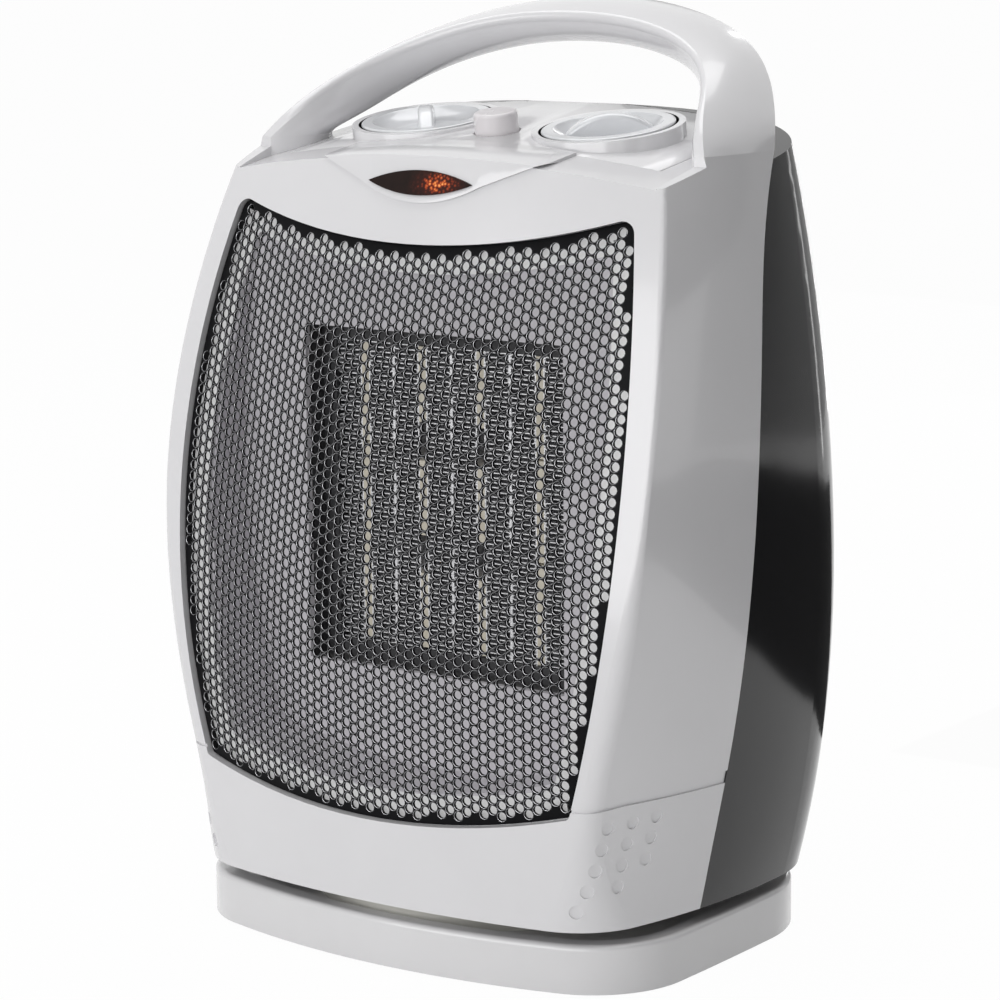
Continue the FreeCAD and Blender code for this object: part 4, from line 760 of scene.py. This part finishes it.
def longest_loop(rim):
    """Walk the boundary edges in their own order; the longest closed walk as a list of (x, z)."""
    unused = dict.fromkeys(rim)
    best = []
    while unused:
        edge = next(iter(unused))
        del unused[edge]
        start, vert = edge.verts
        walk = [start, vert]
        while vert is not start:
            following = [e for e in vert.link_edges if e in unused]
            if not following:
                break
            del unused[following[0]]
            vert = following[0].other_vert(vert)
            walk.append(vert)
        if len(walk) > len(best):
            best = walk
    return [Vector((v.co.x, v.co.z)) for v in best[:-1]]


def resample(loop, step):
    """Points every step along a closed loop."""
    sides = [(a, b, (b - a).length) for a, b in zip(loop, loop[1:] + loop[:1])]
    total = sum(length for _, _, length in sides)
    count = round(total / step)
    points, walked, target = [], 0.0, 0.0
    for a, b, length in sides:
        while length > 0 and target < walked + length and len(points) < count:
            points.append(a.lerp(b, (target - walked) / length))
            target += total / count
        walked += length
    return points


def inset_loop(loop, by):
    """Shift a closed anticlockwise loop inwards along its own normals."""
    moved = []
    for i, point in enumerate(loop):
        along = (loop[(i + 1) % len(loop)] - loop[i - 1]).normalized()
        moved.append(point + Vector((-along.y, along.x)) * by)
    return moved


def signed_area(loop):
    """Area inside a closed loop, below zero where it runs clockwise."""
    return sum(a.x * b.y - b.x * a.y for a, b in zip(loop, loop[1:] + loop[:1])) / 2


grille_surface, grille_outline = front_surface("front_grille")
grille_edge = resample(grille_outline, OUTLINE_STEP)
if signed_area(grille_edge) < 0:
    grille_edge.reverse()
print("grille outline:", len(grille_edge), "points,", round(signed_area(grille_edge) / MM ** 2), "square mm")

# %% Where the holes are
HOLE_PITCH = 2.95 * MM
HOLE_R = 1.2 * MM
CREST_R = HOLE_R + 0.09 * MM        # top of the throat, where the bright crest begins
SHOULDER_R = CREST_R + 0.06 * MM    # where the crest meets the flat sheet
HOLE_SIDES = 12
FOLD_R = 0.55 * MM
PLAIN_EDGE = 0.1 * MM     # sheet left between the outermost holes and the start of the fold
COLUMN_STEP = HOLE_PITCH * math.sqrt(3) / 2
grille_low, grille_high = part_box("front_grille")
GRILLE_MIDDLE_Z = (grille_low.z + grille_high.z) / 2


def inside(point, loop):
    """Even-odd test of a point against a closed loop."""
    crossed = False
    for a, b in zip(loop, loop[1:] + loop[:1]):
        if (a.y > point.y) != (b.y > point.y) and point.x < (b.x - a.x) * (point.y - a.y) / (b.y - a.y) + a.x:
            crossed = not crossed
    return crossed


def lattice_spot(i, j):
    """Hole j of column i: upright columns, every second one half a pitch higher."""
    return Vector((i * COLUMN_STEP, GRILLE_MIDDLE_Z + (j + (i % 2) / 2) * HOLE_PITCH))


def nearest_spot(point):
    """Column and row of the hole nearest to a point."""
    i = round(point.x / COLUMN_STEP)
    return i, round((point.y - GRILLE_MIDDLE_Z) / HOLE_PITCH - (i % 2) / 2)


def hole_numbers(loop):
    """Column and row of every hole whose centre lies inside the loop."""
    reach_i = math.ceil(max(abs(p.x) for p in loop) / COLUMN_STEP)
    reach_j = math.ceil(max(abs(p.y - GRILLE_MIDDLE_Z) for p in loop) / HOLE_PITCH)
    numbers = [(i, j) for i in range(-reach_i, reach_i + 1) for j in range(-reach_j, reach_j + 1)]
    return [n for n in numbers if inside(lattice_spot(*n), loop)]


flat_edge = inset_loop(grille_edge, FOLD_R)
numbers = hole_numbers(inset_loop(flat_edge, SHOULDER_R + PLAIN_EDGE))
holes = [lattice_spot(*n) for n in numbers]
print("holes:", len(holes))

# %% Triangulate the flat pattern
MERGE_WITHIN = 1e-5       # in millimetres, since the triangulation is done in them
INSIDE_HOLE = 0.97        # share of a hole's radius; a flat-sided ring comes no nearer to the middle


def ring(centre, radius, sides=HOLE_SIDES):
    """Points round a circle, anticlockwise."""
    turns = [2 * math.pi * k / sides for k in range(sides)]
    return [centre + Vector((math.cos(turn), math.sin(turn))) * radius for turn in turns]


def closed_edges(start, count):
    """Pairs of numbers that join a run of points into a loop."""
    return [(start + k, start + (k + 1) % count) for k in range(count)]


def triangulate(points, edges):
    """Constrained triangles of flat points in metres; the points keep their order."""
    made = geometry.delaunay_2d_cdt([p / MM for p in points], edges, [], 1, MERGE_WITHIN)
    return [v * MM for v in made[0]], [tuple(face) for face in made[2]]


def middle_of(verts, face):
    return sum((verts[i] for i in face), Vector((0, 0))) / len(face)


def punched_pattern(loop, spots):
    """Flat triangles between the loop and the holes' shoulders; the vertices keep their order."""
    points = list(loop)
    edges = closed_edges(0, len(loop))
    for spot in spots:
        edges += closed_edges(len(points), HOLE_SIDES)
        points += ring(spot, SHOULDER_R)
    verts, faces = triangulate(points, edges)
    taken = set(numbers)
    kept = []
    for face in faces:
        middle = middle_of(verts, face)
        number = nearest_spot(middle)
        off_centre = (middle - lattice_spot(*number)).length
        if number not in taken or off_centre >= SHOULDER_R * INSIDE_HOLE:
            kept.append(face)
    return verts, kept


flat_verts, flat_triangles = punched_pattern(flat_edge, holes)
print("flat pattern:", len(flat_verts), "points,", len(flat_triangles), "triangles")

# %% Lift it, fold its edge and line the holes
SHEET_T = 0.8 * MM
CREST_DROP = 0.03 * MM    # how far the crest's inner edge lies behind the sheet's front
THROAT_DROP = 0.14 * MM   # and how far the straight part of the hole does
RIM_DEPTH = 2.9 * MM
RIM_GAP = 0.02 * MM       # keeps the folded rim off the solid's own outline
FOLD_LAP = 0.2 * MM       # where the rim's inner side begins, behind the fold
GRILLE_CREASE = math.radians(50)


def sheet_depth(point):
    """Y of the dished front surface at (x, z), or of the nearest place on it."""
    hit = grille_surface.ray_cast(Vector((point.x, -1.0, point.y)), BACKWARDS)[0]
    if hit is None:
        hit = grille_surface.find_nearest(Vector((point.x, grille_low.y, point.y)))[0]
    return hit.y


def band(first, second):
    """Quads between two closed rows of vertex numbers."""
    count = len(first)
    return [(first[k], first[(k + 1) % count], second[(k + 1) % count], second[k]) for k in range(count)]


def punched_grille():
    """Front and back of the sheet, and the rim that is folded back round its edge."""
    verts, faces = [], []

    def add_row(points, drop, depths=None):
        """Append a row of (x, z) points at a drop behind the surface; returns their numbers."""
        depths = depths or [sheet_depth(p) for p in points]
        start = len(verts)
        verts.extend((p.x, y + drop, p.y) for p, y in zip(points, depths))
        return list(range(start, len(verts)))

    depths = [sheet_depth(p) for p in flat_verts]
    front = add_row(flat_verts, 0.0, depths)
    back = add_row(flat_verts, SHEET_T, depths)
    faces += [tuple(front[i] for i in t) for t in flat_triangles]
    faces += [tuple(back[i] for i in reversed(t)) for t in flat_triangles]
    edge_count = len(flat_edge)
    rows = [front[:edge_count]]
    for turn in (30, 60, 90):
        t = math.radians(turn)
        shifted = inset_loop(grille_edge, FOLD_R * (1 - math.sin(t)) + RIM_GAP)
        rows.append(add_row(shifted, FOLD_R * (1 - math.cos(t))))
    rows.append(add_row(inset_loop(grille_edge, RIM_GAP), RIM_DEPTH))
    rows.append(add_row(inset_loop(grille_edge, SHEET_T), RIM_DEPTH))
    rows.append(add_row(inset_loop(grille_edge, SHEET_T), FOLD_R + FOLD_LAP))
    rows.append(back[:edge_count])
    for outer, following in zip(rows, rows[1:]):
        faces += band(following, outer)
    return verts, faces


def hole_bands(stages):
    """Bands round every hole; a stage is a radius and how far it lies behind the sheet's front."""
    verts, faces = [], []
    for spot in holes:
        depths = [sheet_depth(p) for p in ring(spot, SHOULDER_R)]
        start = len(verts)
        for radius, drop in stages:
            verts += [(p.x, y + drop, p.y) for p, y in zip(ring(spot, radius), depths)]
        rows = [list(range(start + k * HOLE_SIDES, start + (k + 1) * HOLE_SIDES)) for k in range(len(stages))]
        for outer, inner in zip(rows, rows[1:]):
            faces += band(outer, inner)
    return verts, faces


grille = new_piece("punched_grille", *punched_grille(), "head", "grille_steel")
grille.data.set_sharp_from_angle(angle=GRILLE_CREASE)
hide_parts("front_grille")
crests = hole_bands([(SHOULDER_R, 0.0), (CREST_R, CREST_DROP)])
throats = hole_bands([(CREST_R, CREST_DROP), (HOLE_R, THROAT_DROP), (HOLE_R, SHEET_T)])
rims = new_piece("hole_rims", *crests, "head", "grille_steel")
# painted highlight on the crests round the holes
rims.data.materials[0] = finish["hole_rim_painted_highlight"]
walls = new_piece("hole_walls", *throats, "head", "grille_steel")
for piece in (grille, rims, walls):
    piece.visible_shadow = False    # the plate behind stays as bright as light from all round makes it
print("grille:", len(grille.data.vertices), "vertices")

# %% [markdown]
# ## Lip behind the grille
#
# Just behind the grille's edge one sees the shell's own white lip, on which the sheet rests, and only
# further in the darker plate. Through the outer rows of holes it is much the brightest thing; its
# colour is painted brighter than the shell's white, as painted light for the light that falls on it
# there. It is a flat band between two outlines, so it is built from the grille's outline, shifted
# inwards twice.

# %% Lip behind the grille
LIP_DEPTH = 2.4 * MM
LIP_WIDTH = 7.5 * MM
LIP_GAP = 0.1 * MM        # between the lip and the inner side of the grille's rim


def grille_lip():
    """Band that follows the grille's edge a little behind its sheet."""
    outer = inset_loop(grille_edge, SHEET_T + LIP_GAP)
    inner = inset_loop(grille_edge, LIP_WIDTH)
    verts = [(p.x, sheet_depth(p) + LIP_DEPTH, p.y) for p in outer + inner]
    count = len(outer)
    return verts, band(list(range(count)), list(range(count, 2 * count)))


lip = new_piece("grille_lip", *grille_lip(), "head", "front_shell_plastic")
# painted light: the lip takes a whiter copy of the shell's plastic
lip.data.materials[0] = finish["lip_plastic_painted_bright"]
lip.visible_shadow = False
print("lip:", len(lip.data.polygons), "faces")

# %% [markdown]
# ## Folded fins
#
# Between the ceramic rows and the thin dividers run aluminium strips, folded to and fro a little over
# a millimetre apart, which hand the heat to the air. They could be an array of plates, but the real
# ones are a single strip whose folds show, so the strip's path is walked once: a run across, a round
# turn, a run back. The same path is then given its thickness and swept through the depth of the core.

# %% Folded fins
FIN_STEP = 1.3 * MM
FOIL_T = 0.3 * MM


def folded_path(x0, x1, z0, z1):
    """Points (x, z) along the middle of one folded strip."""
    bend = FIN_STEP / 2
    runs = int((z1 - z0 - FOIL_T) / FIN_STEP)
    start_z = (z0 + z1 - runs * FIN_STEP) / 2
    points = []
    for k in range(runs + 1):
        z = start_z + k * FIN_STEP
        ends = (x0 + bend, x1 - bend) if k % 2 == 0 else (x1 - bend, x0 + bend)
        points += [Vector((ends[0], z)), Vector((ends[1], z))]
        side = 1 if k % 2 == 0 else -1
        if k < runs:
            points += [Vector((ends[1] + side * bend * math.sin(a), z + bend - bend * math.cos(a)))
                       for a in (math.pi / 4, math.pi / 2, 3 * math.pi / 4)]
    return points


def foil_from(path, y0, y1):
    """Vertices and faces of a foil that follows the path, from y0 back to y1."""
    verts, faces = [], []
    for i, point in enumerate(path):
        along = (path[min(i + 1, len(path) - 1)] - path[max(i - 1, 0)]).normalized()
        out = Vector((-along.y, along.x)) * FOIL_T / 2
        for side in (point + out, point - out):
            verts += [(side.x, y0, side.y), (side.x, y1, side.y)]
    for i in range(len(path) - 1):
        a, b = 4 * i, 4 * i + 4
        faces += [(a, a + 1, b + 1, b), (a + 2, b + 2, b + 3, a + 3), (a, b, b + 2, a + 2),
                  (a + 1, a + 3, b + 3, b + 1)]
    last = 4 * (len(path) - 1)
    faces += [(0, 2, 3, 1), (last, last + 1, last + 3, last + 2)]
    return verts, faces


def folded_fins():
    verts, faces = [], []
    for low, high in fin_boxes:
        strip_verts, strip_faces = foil_from(folded_path(low.x, high.x, low.z, high.z), low.y, high.y)
        faces += [tuple(i + len(verts) for i in face) for face in strip_faces]
        verts += strip_verts
    return verts, faces


fins = new_piece("folded_fins", *folded_fins(), "head", "fin_aluminium", smooth=False)
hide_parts("heat_fins")
print("fins:", len(fins.data.polygons), "faces")

# %% [markdown]
# ## Wound coil
#
# The shaded-pole motor has one coil round the lower leg of its core. A solid block with a striped
# texture would do from far away, but a single wire, walked round the leg turn by turn, shows real
# turns from every side. It is a curve with a round section, which costs a few lines.

# %% Wound coil
WIRE_R = 0.45 * MM
COIL_LAYERS = 3
TURN_STEPS = 16
SQUARENESS = 0.75         # 0 winds each turn as an ellipse, 1 as a sharp-cornered oblong


def winding(low, high):
    """Points of a wire wound in layers round the X axis, inside the box from low to high."""
    points = []
    middle = (low + high) / 2
    steps = (int((high.x - low.x) / (2 * WIRE_R)) - 1) * TURN_STEPS
    for layer in range(COIL_LAYERS):
        sink = WIRE_R * (1 + 2 * (COIL_LAYERS - 1 - layer))
        half_y = (high.y - low.y) / 2 - sink
        half_z = (high.z - low.z) / 2 - sink
        for k in range(steps):
            share = k / steps if layer % 2 == 0 else 1 - k / steps
            x = low.x + 2 * WIRE_R + share * (high.x - low.x - 4 * WIRE_R)
            a = 2 * math.pi * k / TURN_STEPS
            square = max(abs(math.cos(a)), abs(math.sin(a))) ** SQUARENESS
            points.append((x, middle.y + half_y * math.cos(a) / square,
                           middle.z + half_z * math.sin(a) / square))
    return points


def wire_piece(name, points, radius, body, slot):
    """Seated piece made from a curve with a round section."""
    curve = bpy.data.curves.new(name, "CURVE")
    curve.dimensions = "3D"
    curve.bevel_depth = radius
    curve.bevel_resolution = 1
    line = curve.splines.new("POLY")
    line.points.add(len(points) - 1)
    for place, point in zip(line.points, points):
        place.co = (*point, 1)
    return seat(name, curve, body, slot)


coil = wire_piece("wound_coil", winding(*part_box("fan_coil")), WIRE_R, "head", "copper")
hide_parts("fan_coil")
print("coil:", len(coil.data.splines[0].points), "points of wire")

# %% [markdown]
# ## Screw heads
#
# Four screws close the base and four more hold the body on its floor, and small ones clamp the wires
# in the terminal block. From below the first two sets are what one sees, so each head gets its crown
# and its cross recess. Cutting a cross with a boolean leaves a messy mesh. Instead the disc is
# triangulated with the cross as a hole, and the recess is built down from that outline.

# %% Cross-recessed screw heads
HEAD_SIDES = 24
CROSS_ARM = 0.16          # this and the next five are shares of the head's radius: half an arm's width,
CROSS_REACH = 0.58        # and how far an arm goes out from the middle
CROWN = 0.28              # how far the head falls from its middle to its edge
SKIRT = 0.45              # how far its side goes down
RECESS = 0.5              # how deep the cross is
PIT_TAPER = 0.6           # how much narrower the cross is at its bottom, as a share of its width


def cross_outline(radius):
    a, r = CROSS_ARM * radius, CROSS_REACH * radius
    quarter = [Vector((r, -a)), Vector((r, a)), Vector((a, a))]
    turned = []
    for k in range(4):
        spin = Matrix.Rotation(k * math.pi / 2, 2)
        turned += [spin @ p for p in quarter]
    return turned


def screw_head(centre, radius, top, facing):
    """Crowned disc with a cross recess; facing is +1 upwards or -1 downwards."""
    outer = ring(Vector((0, 0)), radius, HEAD_SIDES)
    cross = cross_outline(radius)
    edges = closed_edges(0, HEAD_SIDES) + closed_edges(HEAD_SIDES, len(cross))
    flat, faces = triangulate(outer + cross, edges)

    def in_cross(p):
        a, r = CROSS_ARM * radius, CROSS_REACH * radius
        return (abs(p.x) < a and abs(p.y) < r) or (abs(p.y) < a and abs(p.x) < r)

    def placed(points, drop):
        """Corners of the head, each as far below its top as drop says for its point."""
        return [(centre.x + p.x, centre.y + facing * p.y, top - facing * drop(p)) for p in points]

    faces = [face for face in faces if not in_cross(middle_of(flat, face))]
    rim = list(range(HEAD_SIDES, HEAD_SIDES + len(cross)))
    pit = [i + len(cross) for i in rim]
    skirt = [i + pit[-1] + 1 for i in range(HEAD_SIDES)]
    verts = placed(outer + cross, lambda p: CROWN * radius * (p.length / radius) ** 2)
    verts += placed([p * PIT_TAPER for p in cross], lambda p: RECESS * radius)
    verts += placed(outer, lambda p: SKIRT * radius)
    faces += band(rim, pit) + [tuple(pit)] + band(skirt, list(range(HEAD_SIDES)))
    return verts, faces


def screw_heads(name, node_name, body, facing):
    """One piece with a head for each screw of a node, lying just proud of the node's own heads."""
    verts, faces = [], []
    for low, high in solid_boxes(node_name):
        centre = (low + high) / 2
        radius = (high.x - low.x) / 2
        top = high.z if facing > 0 else low.z
        head_verts, head_faces = screw_head(centre, radius, top, facing)
        faces += [tuple(i + len(verts) for i in face) for face in head_faces]
        verts += head_verts
    return new_piece(name, verts, faces, body, "sheet_steel", smooth=False)


heads = [screw_heads("base_screw_heads", "base_screws", "base", -1),
         screw_heads("shell_screw_heads", "shell_screws", "head", -1),
         screw_heads("terminal_screw_heads", "terminal_screws", "head", 1)]
print("screw heads:", sum(len(piece.data.polygons) for piece in heads), "faces")
